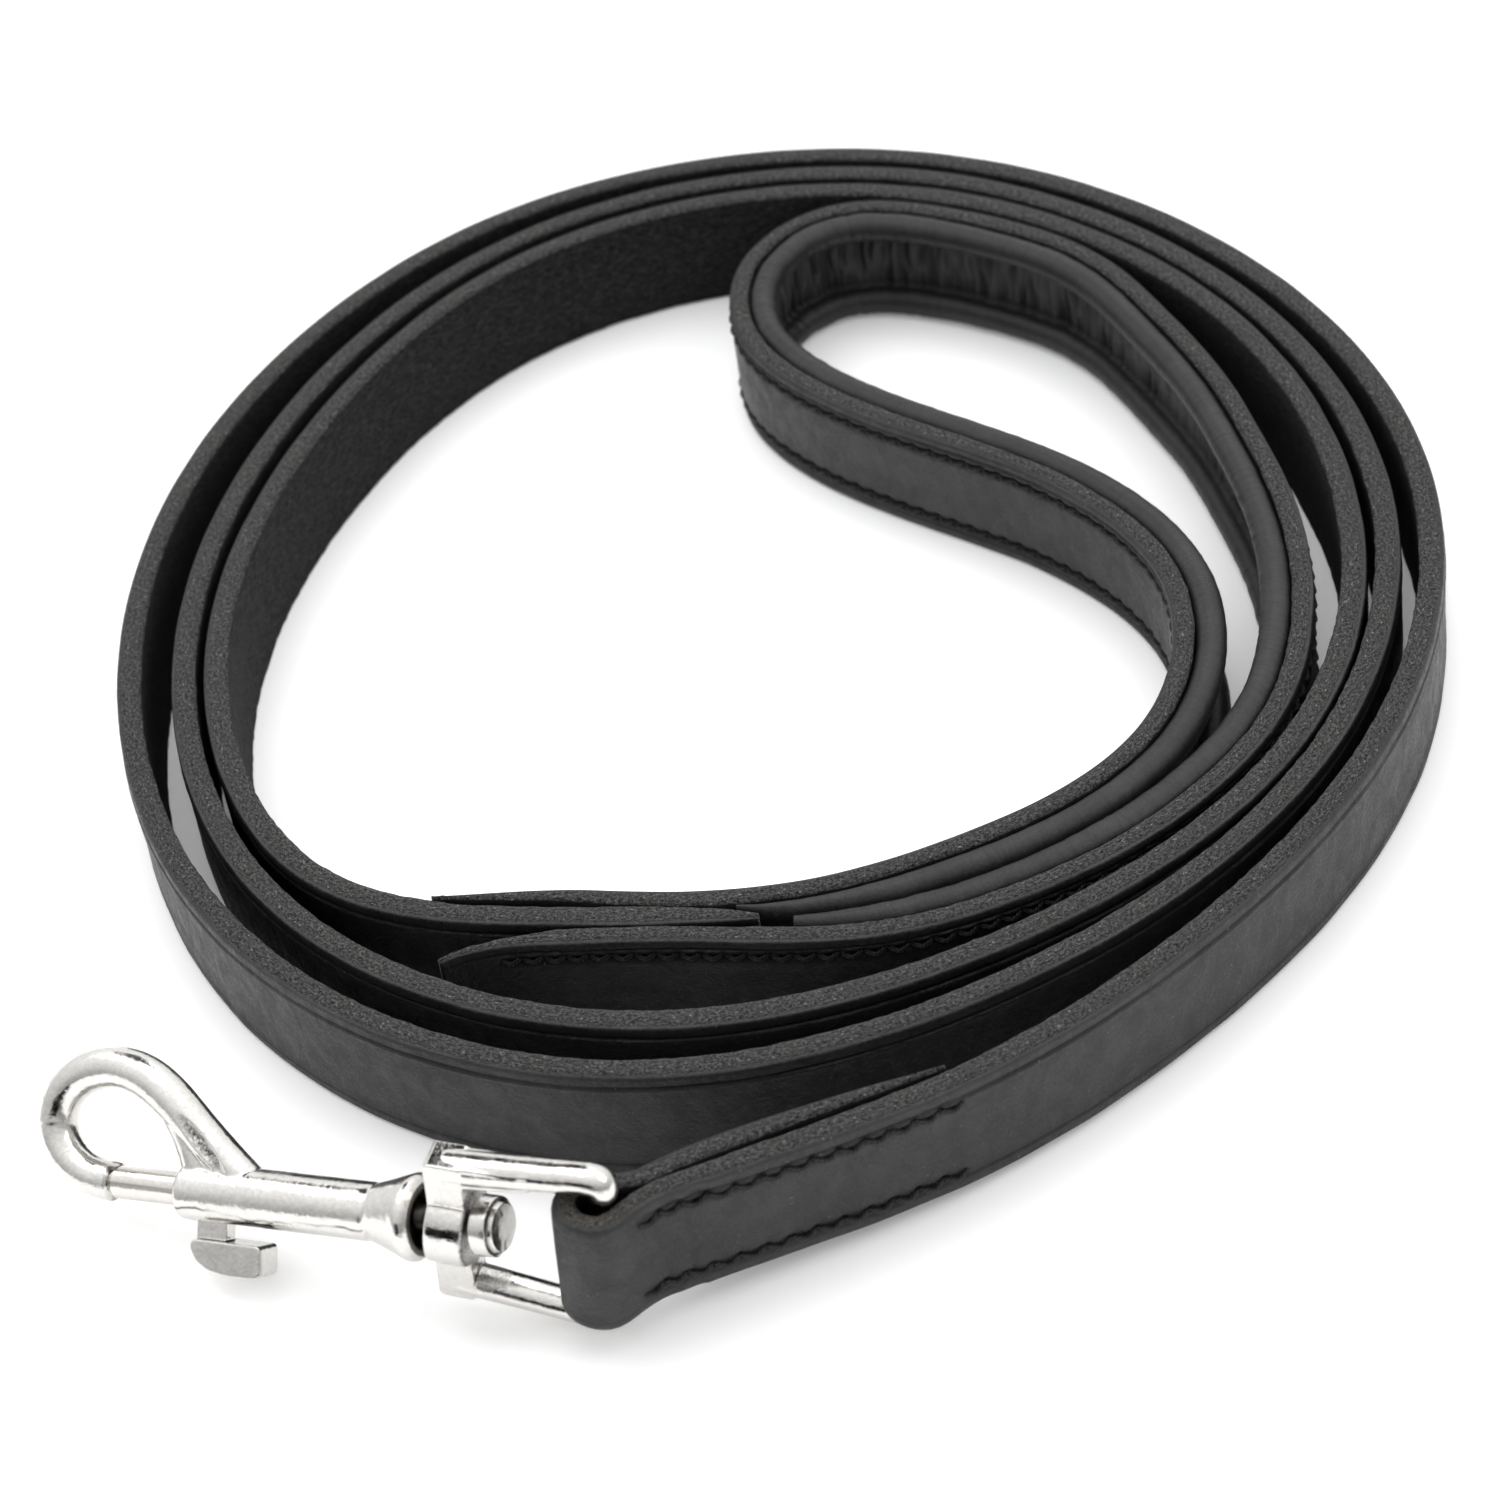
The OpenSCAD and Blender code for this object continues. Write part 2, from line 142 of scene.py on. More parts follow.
class Path:
    """A plan curve walked by distance, with its left-hand normal."""

    def __init__(self, controls, coarse):
        self.points = bspline(controls, 60)
        distance = walked(self.points)
        # distances are scaled to the length of the same curve at coarse points to a span
        self.length = float(gaps(bspline(controls, coarse)).sum())
        self.distance = distance * self.length / distance[-1]

    def xy(self, s):
        return [np.interp(s, self.distance, self.points[:, k]) for k in (0, 1)]

    def at(self, s):
        x, y = self.xy(s)
        reach = 0.4
        s = np.clip(s, reach, self.length - reach)
        (x0, y0), (x1, y1) = self.xy(s - reach), self.xy(s + reach)
        dx, dy = x1 - x0, y1 - y0
        size = np.hypot(dx, dy)
        return np.stack([x, y], -1), np.stack([-dy / size, dx / size], -1)

    def curvature(self, s):
        """Positive where the path turns left."""
        reach = 4
        _, before = self.at(s - reach)
        _, after = self.at(s + reach)
        turn = before[..., 0] * after[..., 1] - before[..., 1] * after[..., 0]
        return turn / (2 * reach)


# ------------------------------------------------------------------ strap layout
WIDTH = 20.0
STRAP_T = 4.0   # lead strap
FOLD_T = 3.5    # lead strap where it folds round the eye's bar
LOOP_T = 3.4    # handle strap
FOLD_GAP = 2.05  # from the centre of the fold to the inner face
COIL_CENTRE = np.array([8.0, 18.0])
FOLD_CENTRE = np.array([-31.8, -111.6])

# plan control points (x, y): the sewn tail, round the fold, back along it, then the coil
TAIL = [[30.5, -92.3], [19.2, -94.4], [2, -98.5], [-11, -102.5], [-21.5, -106], [-26, -108.6]]
RUN = [[-29.8, -116.2], [-24.6, -110.6], [-15.5, -108.5], [-3, -104.5], [13, -100]]
COIL_END = [[-30.5, -51.5], [0.5, -57.5], [12.5, -64]]
# a spline on 45 degree control points runs inside them by this share
FOLD_R = (FOLD_GAP + FOLD_T / 2) / ((2 + math.cos(math.radians(45))) / 3)
FOLD = [polar(FOLD_CENTRE, FOLD_R, 75 + 45 * k).tolist() for k in range(5)]
# coil radii every 36 degrees
COIL_RADII = [111, 108.5, 109.5, 114, 125.5, 127.5, 114, 108, 114, 116,
              102.5, 102, 102, 107.5, 120, 119.5, 102.5, 99, 105.5, 105,
              95, 98, 95.5, 102.5, 114.5, 113, 95.5, 94, 99]
COIL = [polar(COIL_CENTRE, r, -72 + 36 * k).tolist() for k, r in enumerate(COIL_RADII)]
lead_path = Path(TAIL + FOLD + RUN + COIL + COIL_END, 5)
LEAD = lead_path.length

# plan control points (x, y) of the handle strap
LOOP_PLAN = [
    [-68.5, -41], [-49.5, -44.5], [-30.5, -46.5], [-12, -52.5], [7.5, -54], [26.5, -50],
    [44.5, -44], [60.5, -32], [68.5, -14], [69.5, 5.5], [61, 23.5], [48.5, 38], [33.5, 50.5],
    [20, 64], [9.5, 81], [10.5, 101], [21, 113.5], [34, 116.5], [47, 110.5], [57.5, 103],
    [68, 94], [75, 82.5], [79, 70.5], [85, 52.5], [87.5, 35.5], [89.5, 18.5], [89, 1],
    [85.5, -16], [78.5, -32.5], [66.5, -45], [52, -55], [36.5, -61], [18.5, -65], [2, -63],
    [-15.5, -58], [-32, -55], [-49.5, -52], [-66, -68]]
loop_path = Path(LOOP_PLAN, 3)
LOOP = loop_path.length


def lead_thickness(s):
    return np.interp(
        s, [0, 4, 12, 22, 30, 70, 76, 100, LEAD - 16, LEAD - 8, LEAD - 3, LEAD],
        [0.6, 1, 2.1, 2.9, FOLD_T - 0.2, FOLD_T - 0.2, FOLD_T - 0.1, STRAP_T, STRAP_T,
         3.2, 2.2, 1.2])


def loop_thickness(s):
    return np.interp(
        s, [0, 10, 25, 36, 46, 70, LOOP - 90, LOOP - 60, LOOP - 40, LOOP - 18, LOOP - 8, LOOP],
        [0.5, 1.65, 2.8, 3.25, 3.3, LOOP_T, LOOP_T, 3.4, 3.5, 3.25, 1.8, 1.0])


# grain_side is +1 where the grain faces left of the path; offsets run towards the grain.
# sewn holds (from, to) distances, crease the height of the crease in from each edge.
lead = SimpleNamespace(
    path=lead_path, thickness=lead_thickness, grain_depth=lambda s: lead_thickness(s) / 2,
    grain_side=-1, crease=2.2, sewn=[(69.5, 119.3), (4.0, 49.0)], pitch=3.8, groove=0.10,
    fold=(48, 72), rises=True, thread_radius=0.44, thread_sunk=0.0,
    step=level(0.8), seed=100)
handle = SimpleNamespace(
    path=loop_path, thickness=loop_thickness, grain_depth=lambda s: 0 * s + LOOP_T / 2,
    grain_side=1, crease=1.75, sewn=[(8.0, LOOP - 9.0)], pitch=3.3, groove=0.30,
    fold=None, rises=False, thread_radius=0.36, thread_sunk=0.22,
    step=level(0.55), seed=200)

# the snap end bends up over RISE_LEN to reach END_LIFT at the fold, at END_PITCH
END_PITCH = math.radians(4.5)
END_LIFT = 5.3
END_VEC = polar(np.zeros(2), 1.0, 193)
RISE_LEN = 2 * END_LIFT / END_PITCH
RISE_FROM = FOLD_CENTRE - END_VEC * RISE_LEN
RISE_TO = 230.0  # the strap lies flat beyond this distance


def lay(strap, s, offset, z):
    """Plan-frame points beside a strap's line, offset towards its grain, at height z."""
    line, left = strap.path.at(s)
    xy = line + left * strap.grain_side * offset[..., None]
    z = np.broadcast_to(z, offset.shape)
    if strap.rises:
        live = s < RISE_TO
        u = (xy - RISE_FROM) @ END_VEC
        bent = END_LIFT * (u / RISE_LEN) ** 2
        straight = END_LIFT + (u - RISE_LEN) * END_PITCH
        lift = np.where(u < 0, 0, np.where(u < RISE_LEN, bent, straight)) * live
        angle = END_PITCH * unit(u / RISE_LEN) * live
        xy = xy - END_VEC * (z * np.sin(angle))[..., None]
        z = lift + z * np.cos(angle)
    return np.concatenate([xy, z[..., None]], -1)


# ------------------------------------------------------------------ mesh building
def face_outward(mesh):
    bm = bmesh.new()
    bm.from_mesh(mesh)
    bmesh.ops.recalc_face_normals(bm, faces=bm.faces)
    bm.to_mesh(mesh)
    bm.free()


def make_object(name, verts, faces, materials, body, node, attributes, face_materials=None):
    """Makes a smooth object from world points in millimetres and registers it."""
    mesh = bpy.data.meshes.new(name)
    mesh.from_pydata((verts / 1000.0).tolist(), [], faces)
    for key, values in attributes.items():
        values = np.asarray(values, np.float32)
        kind, field = ("FLOAT_VECTOR", "vector") if values.ndim == 2 else ("FLOAT", "value")
        mesh.attributes.new(key, kind, "POINT").data.foreach_set(field, values.ravel())
    for material in materials:
        mesh.materials.append(material)
    if face_materials is not None:
        mesh.polygons.foreach_set("material_index", np.asarray(face_materials, np.int32))
    mesh.polygons.foreach_set("use_smooth", np.ones(len(mesh.polygons), bool))
    face_outward(mesh)
    mesh.update()
    obj = bpy.data.objects.new(name, mesh)
    scene.collection.objects.link(obj)
    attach(obj, body)
    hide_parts(node)
    return obj


def lead_object(name, verts, faces, materials, node, attributes, face_materials=None):
    """A part of the lead itself, given in the plan frame."""
    verts = verts.reshape(-1, 3) + SHIFT
    make_object(name, verts, faces, materials, "lead", node, attributes, face_materials)


def strip_coords(along, across):
    """Values of the st attribute: (distance along, distance across, 0) in mm."""
    along, across = np.broadcast_arrays(along, across)
    return np.stack([along, across, 0 * along], -1).reshape(-1, 3)


def grid_faces(n, m):
    """Faces of n closed rings of m points, capped at both ends."""
    i = np.arange(n - 1)[:, None] * m
    j = np.arange(m)[None]
    k = (j + 1) % m
    faces = np.stack([i + j, i + m + j, i + m + k, i + k], -1).reshape(-1, 4).tolist()
    return faces + [list(range(m)), list(range((n - 1) * m, n * m))[::-1]]


def tube_mesh(points, radii, sides, up=(0, 0, 1), swell=None, oval=1.0):
    """A rod with rounded ends. swell(ring, angle) scales the radius; oval stretches along up."""
    p = np.asarray(points, float)
    r = np.asarray(radii, float) * np.ones(len(p))
    tangent = np.gradient(p, axis=0)
    tangent /= np.linalg.norm(tangent, axis=1)[:, None]
    # the up vector is carried along the rod without twist
    ref = np.zeros_like(tangent)
    v = np.asarray(up, float)
    v = v - tangent[0] * (v @ tangent[0])
    for k in range(len(p)):
        v = v - tangent[k] * (v @ tangent[k])
        v = v / np.linalg.norm(v)
        ref[k] = v
    side = np.cross(tangent, ref)
    a = np.arange(sides) * 2 * math.pi / sides
    ring = (ref[:, None] * np.cos(a)[None, :, None] * oval
            + side[:, None] * np.sin(a)[None, :, None])
    scale = np.ones((1, sides)) if swell is None else swell(np.arange(len(p))[:, None], a[None])
    spread = r[:, None] * scale

    def cap(k, sign, q):
        shrink = math.sqrt(1 - q * q)
        return p[k] + sign * tangent[k] * r[k] * q + ring[k] * (spread[k] * shrink)[:, None]

    start = [cap(0, -1, q) for q in (0.92, 0.7, 0.35)]
    end = [cap(-1, 1, q) for q in (0.35, 0.7, 0.92)]
    rings = np.concatenate([start, p[:, None] + ring * spread[..., None], end])
    return rings.reshape(-1, 3), grid_faces(len(rings), sides)


def revolve_mesh(profile, sides=96):
    """Turns (x, radius) points about the local X axis. Points on the axis are dropped."""
    profile = np.asarray(profile, float)
    x, r = profile[profile[:, 1] > 1e-6].T
    a = np.arange(sides) * 2 * math.pi / sides
    rings = np.stack([np.repeat(x[:, None], sides, 1),
                      r[:, None] * np.cos(a), r[:, None] * np.sin(a)], -1)
    return rings.reshape(-1, 3), grid_faces(len(x), sides)


def rounded(points, radius, steps=5):
    """Rounds each inner corner of an open profile."""
    pts = [np.array(p, float) for p in points]
    out = [pts[0]]
    for a, b, c in zip(pts, pts[1:], pts[2:]):
        len_a, len_c = np.linalg.norm(a - b), np.linalg.norm(c - b)
        cut = min(radius, len_a * 0.45, len_c * 0.45)
        first, last = b + (a - b) / len_a * cut, b + (c - b) / len_c * cut
        for i in range(steps + 1):
            t = i / steps
            out.append((1 - t) ** 2 * first + 2 * t * (1 - t) * b + t * t * last)
    return [tuple(p) for p in out + [pts[-1]]]


def box_mesh(lo, hi):
    v = [(x, y, z) for x in (lo[0], hi[0]) for y in (lo[1], hi[1]) for z in (lo[2], hi[2])]
    return np.array(v, float), [[0, 1, 3, 2], [4, 6, 7, 5], [0, 4, 5, 1], [2, 3, 7, 6],
                                [0, 2, 6, 4], [1, 5, 7, 3]]


def xz_points(xz, y=0.0):
    xz = np.array(xz, float)
    return np.stack([xz[:, 0], np.full(len(xz), y), xz[:, 1]], 1)


def prism_mesh(outline, half):
    """An outline in local x, z pushed to half either side along y."""
    n = len(outline)
    v = np.concatenate([xz_points(outline, -half), xz_points(outline, half)])
    sides = [[i, (i + 1) % n, n + (i + 1) % n, n + i] for i in range(n)]
    return v, [list(range(n)), list(range(n, 2 * n))[::-1]] + sides


def merge(parts):
    verts, faces, n = [], [], 0
    for part_verts, part_faces in parts:
        verts.append(part_verts)
        faces += [[i + n for i in face] for face in part_faces]
        n += len(part_verts)
    return np.concatenate(verts), faces


# ------------------------------------------------------------------ materials
def rgba(value):
    """Opaque colour from a grey level or a triple. Sockets pass through."""
    if isinstance(value, (int, float)):
        return (value, value, value, 1)
    return (*value, 1) if isinstance(value, tuple) else value


class Shader:
    """A material with one Principled BSDF, and short ways to add nodes to it."""

    def __init__(self, name):
        self.material = bpy.data.materials.new(name)
        self.material.use_nodes = True
        self.tree = self.material.node_tree
        self.tree.nodes.clear()
        out = self.node("OutputMaterial")
        self.bsdf = self.node("BsdfPrincipled")
        self.tree.links.new(self.bsdf.outputs[0], out.inputs[0])

    def put(self, socket, value):
        if isinstance(value, bpy.types.NodeSocket):
            self.tree.links.new(value, socket)
        else:
            socket.default_value = value

    def node(self, kind, inputs=None, **settings):
        node = self.tree.nodes.new("ShaderNode" + kind)
        for key, value in settings.items():
            setattr(node, key, value)
        for key, value in (inputs or {}).items():
            self.put(node.inputs[key], value)
        return node

    def attr(self, name, output="Fac"):
        return self.node("Attribute", attribute_name=name).outputs[output]

    def object_mm(self):
        coords = self.node("TexCoord").outputs["Object"]
        return self.scaled(coords, (1000.0, 1000.0, 1000.0))

    def scaled(self, vec, factors):
        return self.node("VectorMath", {0: vec, 1: factors}, operation="MULTIPLY").outputs[0]

    def noise(self, vec, scale, detail, rough, warp=0.0):
        return self.node("TexNoise", {"Vector": vec, "Scale": scale, "Detail": detail,
                                      "Roughness": rough, "Distortion": warp}).outputs[0]

    def voronoi(self, vec, scale):
        return self.node("TexVoronoi", {"Vector": vec, "Scale": scale}).outputs[0]

    def ramp(self, fac, stops):
        """stops are (position, grey level or colour)."""
        node = self.node("ValToRGB", {0: fac})
        elements = node.color_ramp.elements
        while len(elements) < len(stops):
            elements.new(0.5)
        for element, (position, value) in zip(elements, stops):
            element.position = position
            element.color = rgba(value)
        return node.outputs[0]

    def spots(self, vec, scale, stops, patch_scale, patch_stops):
        """Round spots that show only in patches."""
        patches = self.noise(vec, scale=patch_scale, detail=2, rough=0.5)
        return self.times(self.ramp(self.voronoi(vec, scale), stops),
                          self.ramp(patches, patch_stops))

    def math(self, operation, a, b, clamp=False):
        return self.node("Math", {0: a, 1: b, 2: 0.0},
                         operation=operation, use_clamp=clamp).outputs[0]

    def times(self, a, b, clamp=False):
        return self.math("MULTIPLY", a, b, clamp)

    def minus(self, a, b):
        return self.math("SUBTRACT", a, b)

    def plus(self, total, *terms):
        for term in terms:
            total = self.math("ADD", total, term)
        return total

    def mix(self, fac, a, b):
        """a where fac is 0, b where it is 1."""
        return self.node("Mix", {0: fac, 6: rgba(a), 7: rgba(b)}, data_type="RGBA").outputs[2]

    def bump(self, height, depth, strength):
        return self.node("Bump", {"Strength": strength, "Distance": depth,
                                  "Height": height}).outputs[0]

    def crevice_shade(self):
        """Painted shade: 1 on open faces, falling to 0.12 deep between two layers of strap."""
        node = self.node("AmbientOcclusion", {"Distance": 0.025}, samples=5)
        return self.ramp(node.outputs["AO"], [(0.04, 0.12), (0.42, 1.0)])

    def done(self, color, rough, normal=None, metal=0.0, spec=None, sheen=0.0):
        inputs = {"Base Color": rgba(color), "Roughness": rough, "Metallic": metal}
        if spec is not None:
            inputs["Specular IOR Level"] = spec
        if sheen:
            inputs.update({"Sheen Weight": sheen, "Sheen Roughness": 0.5})
        if normal is not None:
            inputs["Normal"] = normal
        for key, value in inputs.items():
            self.put(self.bsdf.inputs[key], value)
        return self.material


def leather_grain(name):
    """Waxed black grain side, with waves, creases, pores and dust, and painted shade in its
    grooves and between layers of strap.
    """
    mat = Shader(name)
    st = mat.attr("st", "Vector")
    fine = mat.noise(st, scale=1.9, detail=5, rough=0.7)
    broad = mat.noise(mat.scaled(st, (0.06, 0.14, 1)), scale=1.0, detail=3, rough=0.5)
    waves = mat.noise(mat.scaled(st, (0.30, 0.22, 1)), scale=1.0, detail=3, rough=0.55, warp=0.5)
    creases = mat.noise(mat.scaled(st, (0.9, 0.30, 1)), scale=1.3, detail=5, rough=0.7, warp=1.2)
    pores = mat.voronoi(st, scale=2.4)
    dust = mat.spots(st, scale=0.8, stops=[(0.0, 1.0), (0.07, 1.0), (0.11, 0.0)],
                     patch_scale=0.21, patch_stops=[(0.5, 0.0), (0.6, 1.0)])
    color = mat.ramp(broad, [(0.38, (0.011, 0.011, 0.0115)), (0.62, (0.019, 0.019, 0.0195))])
    # worn crease tops, dust, then painted shade in the crease and stitch grooves and between
    # layers of strap
    color = mat.mix(mat.ramp(creases, [(0.54, 0.0), (0.68, 0.35)]), color, (0.034, 0.034, 0.035))
    color = mat.mix(mat.times(dust, 0.8), color, (0.22, 0.22, 0.222))
    shade = mat.attr("shade")
    color = mat.mix(shade, color, 0.004)
    rough = mat.ramp(mat.plus(mat.times(fine, 0.6), mat.times(waves, 0.4)),
                     [(0.43, 0.38), (0.57, 0.58)])
    # painted shade: darker and less reflective deep between layers of strap
    deep = mat.crevice_shade()
    color = mat.mix(deep, 0.002, color)
    spec = mat.times(mat.minus(0.86, mat.times(shade, 0.66)), deep)
    height = mat.plus(mat.times(fine, 0.8), mat.times(creases, 0.35),
                      mat.times(pores, 0.3), mat.times(waves, 3.0))
    return mat.done(color, rough, mat.bump(height, depth=0.00016, strength=0.95), spec=spec)


def leather_edge(name):
    """Raw cut edge: dyed fibre with pale lint and dark pits, browner at the fold."""
    mat = Shader(name)
    st = mat.attr("st", "Vector")
    fibre = mat.scaled(st, (0.75, 1.15, 1.15))
    coarse = mat.noise(fibre, scale=2.1, detail=6, rough=0.8, warp=0.1)
    fine = mat.noise(mat.scaled(fibre, (1.0, 1.3, 1.3)), scale=4.2, detail=3, rough=0.7)
    grit = mat.plus(mat.times(coarse, 0.65), mat.times(fine, 0.35))
    pits = mat.voronoi(fibre, scale=1.4)
    lint = mat.voronoi(mat.scaled(st, (0.7, 1.5, 1.5)), scale=0.8)
    broad = mat.noise(mat.scaled(st, (0.12, 0.6, 0.6)), scale=1.0, detail=3, rough=0.5)
    color = mat.ramp(grit, [(0.43, 0.020), (0.50, (0.072, 0.0715, 0.071)),
                            (0.57, (0.17, 0.168, 0.165))])
    color = mat.mix(mat.ramp(pits, [(0.08, 0.85), (0.27, 0.0)]), color, 0.010)
    color = mat.mix(mat.ramp(lint, [(0.0, 0.9), (0.09, 0.7), (0.15, 0.0)]),
                    color, (0.34, 0.335, 0.325))
    color = mat.mix(mat.times(mat.ramp(broad, [(0.35, 0.0), (0.7, 1.0)]), 0.22), color, 0.05)
    brown = mat.ramp(grit, [(0.43, (0.024, 0.021, 0.019)), (0.57, (0.23, 0.21, 0.19))])
    color = mat.mix(mat.times(mat.attr("fold"), 0.6), color, brown)
    # painted shade from the shade attribute of the grain's grooves
    color = mat.mix(mat.attr("shade"), color, 0.008)
    height = mat.minus(grit, mat.ramp(pits, [(0.0, 0.8), (0.25, 0.0)]))
    return mat.done(color, rough=0.9, normal=mat.bump(height, depth=0.00032, strength=1.0),
                    spec=0.2, sheen=0.06)


def leather_flesh(name):
    """Rough fibrous back of the strap, with painted shade between layers of strap."""
    mat = Shader(name)
    st = mat.attr("st", "Vector")
    hairs = mat.noise(mat.scaled(st, (0.55, 2.4, 1)), scale=1.4, detail=6, rough=0.7, warp=1.2)
    grit = mat.noise(st, scale=2.0, detail=5, rough=0.7)
    lint = mat.voronoi(mat.scaled(st, (0.6, 1.1, 1)), scale=0.8)
    color = mat.ramp(hairs, [(0.41, 0.005), (0.5, 0.018), (0.59, (0.060, 0.059, 0.058))])
    color = mat.mix(mat.ramp(lint, [(0.0, 0.7), (0.06, 0.5), (0.1, 0.0)]),
                    color, (0.2, 0.198, 0.19))
    # painted shade: darker and less reflective deep between layers of strap
    deep = mat.crevice_shade()
    color = mat.mix(deep, 0.003, color)
    height = mat.plus(hairs, mat.times(grit, 0.6))
    return mat.done(color, rough=0.85, normal=mat.bump(height, depth=0.00032, strength=1.0),
                    spec=mat.times(0.3, deep), sheen=0.03)


def leather_soft(name):
    """Soft lining leather, with fine wrinkles across it and painted shade in their troughs and
    where the rolls meet the strap and the web.
    """
    mat = Shader(name)
    st = mat.attr("st", "Vector")
    wrinkles = mat.noise(mat.scaled(st, (1.2, 0.20, 1)), scale=1.0, detail=4, rough=0.6, warp=0.8)
    fine = mat.noise(st, scale=3.0, detail=4, rough=0.6)
    pebble = mat.voronoi(st, scale=1.6)
    broad = mat.noise(mat.scaled(st, (0.08, 0.15, 1)), scale=1.0, detail=2, rough=0.5)
    color = mat.ramp(broad, [(0.38, (0.014, 0.014, 0.0145)), (0.62, (0.024, 0.024, 0.025))])
    # painted shade in the troughs of the wrinkles
    color = mat.mix(mat.ramp(wrinkles, [(0.38, 0.6), (0.52, 0.0)]), color, 0.006)
    dust = mat.spots(st, scale=0.35, stops=[(0.0, 0.6), (0.04, 0.5), (0.06, 0.0)],
                     patch_scale=0.2, patch_stops=[(0.52, 0.0), (0.6, 1.0)])
    color = mat.mix(dust, color, 0.2)
    # painted shade from the shade attribute, darker and less reflective
    shade = mat.attr("shade")
    color = mat.mix(shade, color, 0.009)
    height = mat.plus(mat.times(wrinkles, 0.9), mat.times(fine, 0.35), mat.times(pebble, 0.2))
    return mat.done(color, mat.ramp(fine, [(0.38, 0.42), (0.62, 0.58)]),
                    mat.bump(height, depth=0.00014, strength=0.9),
                    spec=mat.minus(0.78, mat.times(shade, 0.6)))


def thread_mat(name):
    """Waxed black thread with diagonal plies."""
    mat = Shader(name)
    st = mat.attr("st", "Vector")
    ply = mat.node("TexWave", {"Vector": st, "Scale": 1.1, "Distortion": 0.8, "Detail": 2.0},
                   bands_direction="DIAGONAL").outputs[1]
    fuzz = mat.noise(st, scale=4.0, detail=4, rough=0.6)
    color = mat.ramp(ply, [(0.2, 0.008), (0.8, (0.030, 0.030, 0.031))])
    color = mat.mix(mat.times(mat.ramp(fuzz, [(0.55, 0.0), (0.8, 1.0)]), 0.3), color, 0.08)
    height = mat.plus(ply, mat.times(fuzz, 0.4))
    return mat.done(color, rough=0.42, normal=mat.bump(height, depth=0.00012, strength=0.8),
                    spec=0.5)


def cord_mat(name):
    """Undyed fibre cord."""
    mat = Shader(name)
    st = mat.attr("st", "Vector")
    fibre = mat.noise(mat.scaled(st, (0.7, 2.0, 2.0)), scale=2.0, detail=4, rough=0.65)
    color = mat.ramp(fibre, [(0.3, (0.10, 0.095, 0.088)), (0.7, (0.30, 0.285, 0.265))])
    return mat.done(color, rough=0.9, normal=mat.bump(fibre, depth=0.0002, strength=0.9),
                    spec=0.2, sheen=0.2)


def nickel_mat(name, cast, tint):
    """Bright plating with soft waves, frosting and dark pits. cast scales its unevenness."""
    mat = Shader(name)
    mm = mat.object_mm()
    wave = mat.noise(mm, scale=0.55, detail=3, rough=0.55, warp=0.4)
    mid = mat.noise(mm, scale=1.7, detail=4, rough=0.6)
    grain = mat.noise(mm, scale=6.0, detail=3, rough=0.6)
    frost = mat.ramp(mat.noise(mm, scale=0.32, detail=4, rough=0.6), [(0.40, 0.0), (0.66, 1.0)])
    pit = mat.spots(mm, scale=1.6, stops=[(0.0, 1.0), (0.07, 0.8), (0.12, 0.0)],
                    patch_scale=0.5, patch_stops=[(0.52, 0.0), (0.62, 1.0)])
    seam = mat.attr("seam")
    raw = mat.attr("rough")
    color = mat.ramp(mid, [(0.3, tuple(0.90 * c for c in tint)), (0.7, tint)])
    color = mat.mix(mat.times(pit, 0.75), color, (0.16, 0.15, 0.14))
    # dark parting lines, and painted shade in bores and where parts meet
    color = mat.mix(mat.times(seam, 0.9, clamp=True), color, (0.07, 0.065, 0.06))
    pock = mat.ramp(mat.noise(mm, scale=2.6, detail=5, rough=0.7), [(0.38, 1.0), (0.60, 0.0)])
    color = mat.mix(mat.times(raw, pock), color, (0.06, 0.056, 0.05))
    rough = mat.plus(0.12, mat.times(frost, 0.16 * cast), mat.times(raw, 0.25))
    height = mat.plus(mat.times(wave, 1.0), mat.times(mid, 0.25),
                      mat.times(mat.times(grain, frost), 0.05))
    height = mat.minus(height, mat.times(pit, 0.12))
    lumps = mat.noise(mm, scale=2.2, detail=5, rough=0.7)
    height = mat.plus(height, mat.times(mat.times(raw, lumps), 1.2))
    return mat.done(color, rough, mat.bump(height, depth=0.00011 * cast, strength=0.8), metal=1.0)


def steel_mat(name):
    """Drawn spring wire."""
    mat = Shader(name)
    draw = mat.noise(mat.object_mm(), scale=3.0, detail=4, rough=0.6)
    color = mat.ramp(draw, [(0.3, (0.62, 0.61, 0.60)), (0.7, (0.76, 0.75, 0.73))])
    return mat.done(color, mat.ramp(draw, [(0.3, 0.16), (0.7, 0.30)]),
                    mat.bump(draw, depth=0.00003, strength=0.6), metal=1.0)


M_GRAIN = leather_grain("bridle_leather_grain")
M_EDGE = leather_edge("bridle_leather_edge")
M_FLESH = leather_flesh("bridle_leather_flesh")
M_SOFT = leather_soft("lining_leather")
M_THREAD = thread_mat("waxed_thread")
M_CORD = cord_mat("edge_cord")
M_NICKEL = nickel_mat("plated_casting", cast=1.0, tint=(0.74, 0.726, 0.703))
M_BOLT = nickel_mat("plated_bolt", cast=0.7, tint=(0.73, 0.708, 0.68))
M_STEEL = steel_mat("spring_wire")

# ------------------------------------------------------------------ straps
STITCH_INSET = 3.2
STITCH_ROWS = {"lower": STITCH_INSET, "upper": WIDTH - STITCH_INSET}
# heights of the mesh rows, closer together where the grain face is worked
GRAIN_ROWS = np.unique(np.round(np.clip(np.concatenate([
    np.arange(0, 1.3, 0.2), np.arange(1.3, 5.0, 0.25), np.arange(5, 15.01, 1.0),
    np.arange(15.25, 18.8, 0.25), np.arange(18.8, 20.01, 0.2)]), 0, WIDTH), 3))
FLESH_ROWS = np.concatenate([[0.35], np.arange(1.25, 18.9, 1.25), [19.65]])
EDGE_ROWS = 8
EDGE_ROUND = 0.85   # how far in from each edge the grain rounds over
CREASE_DEPTH = 0.31


def stitch_height(row, phase):
    """Stitches slant: their height swings about the row once a pitch."""
    return row + 0.32 * np.sin(2 * math.pi * (phase + 0.22))


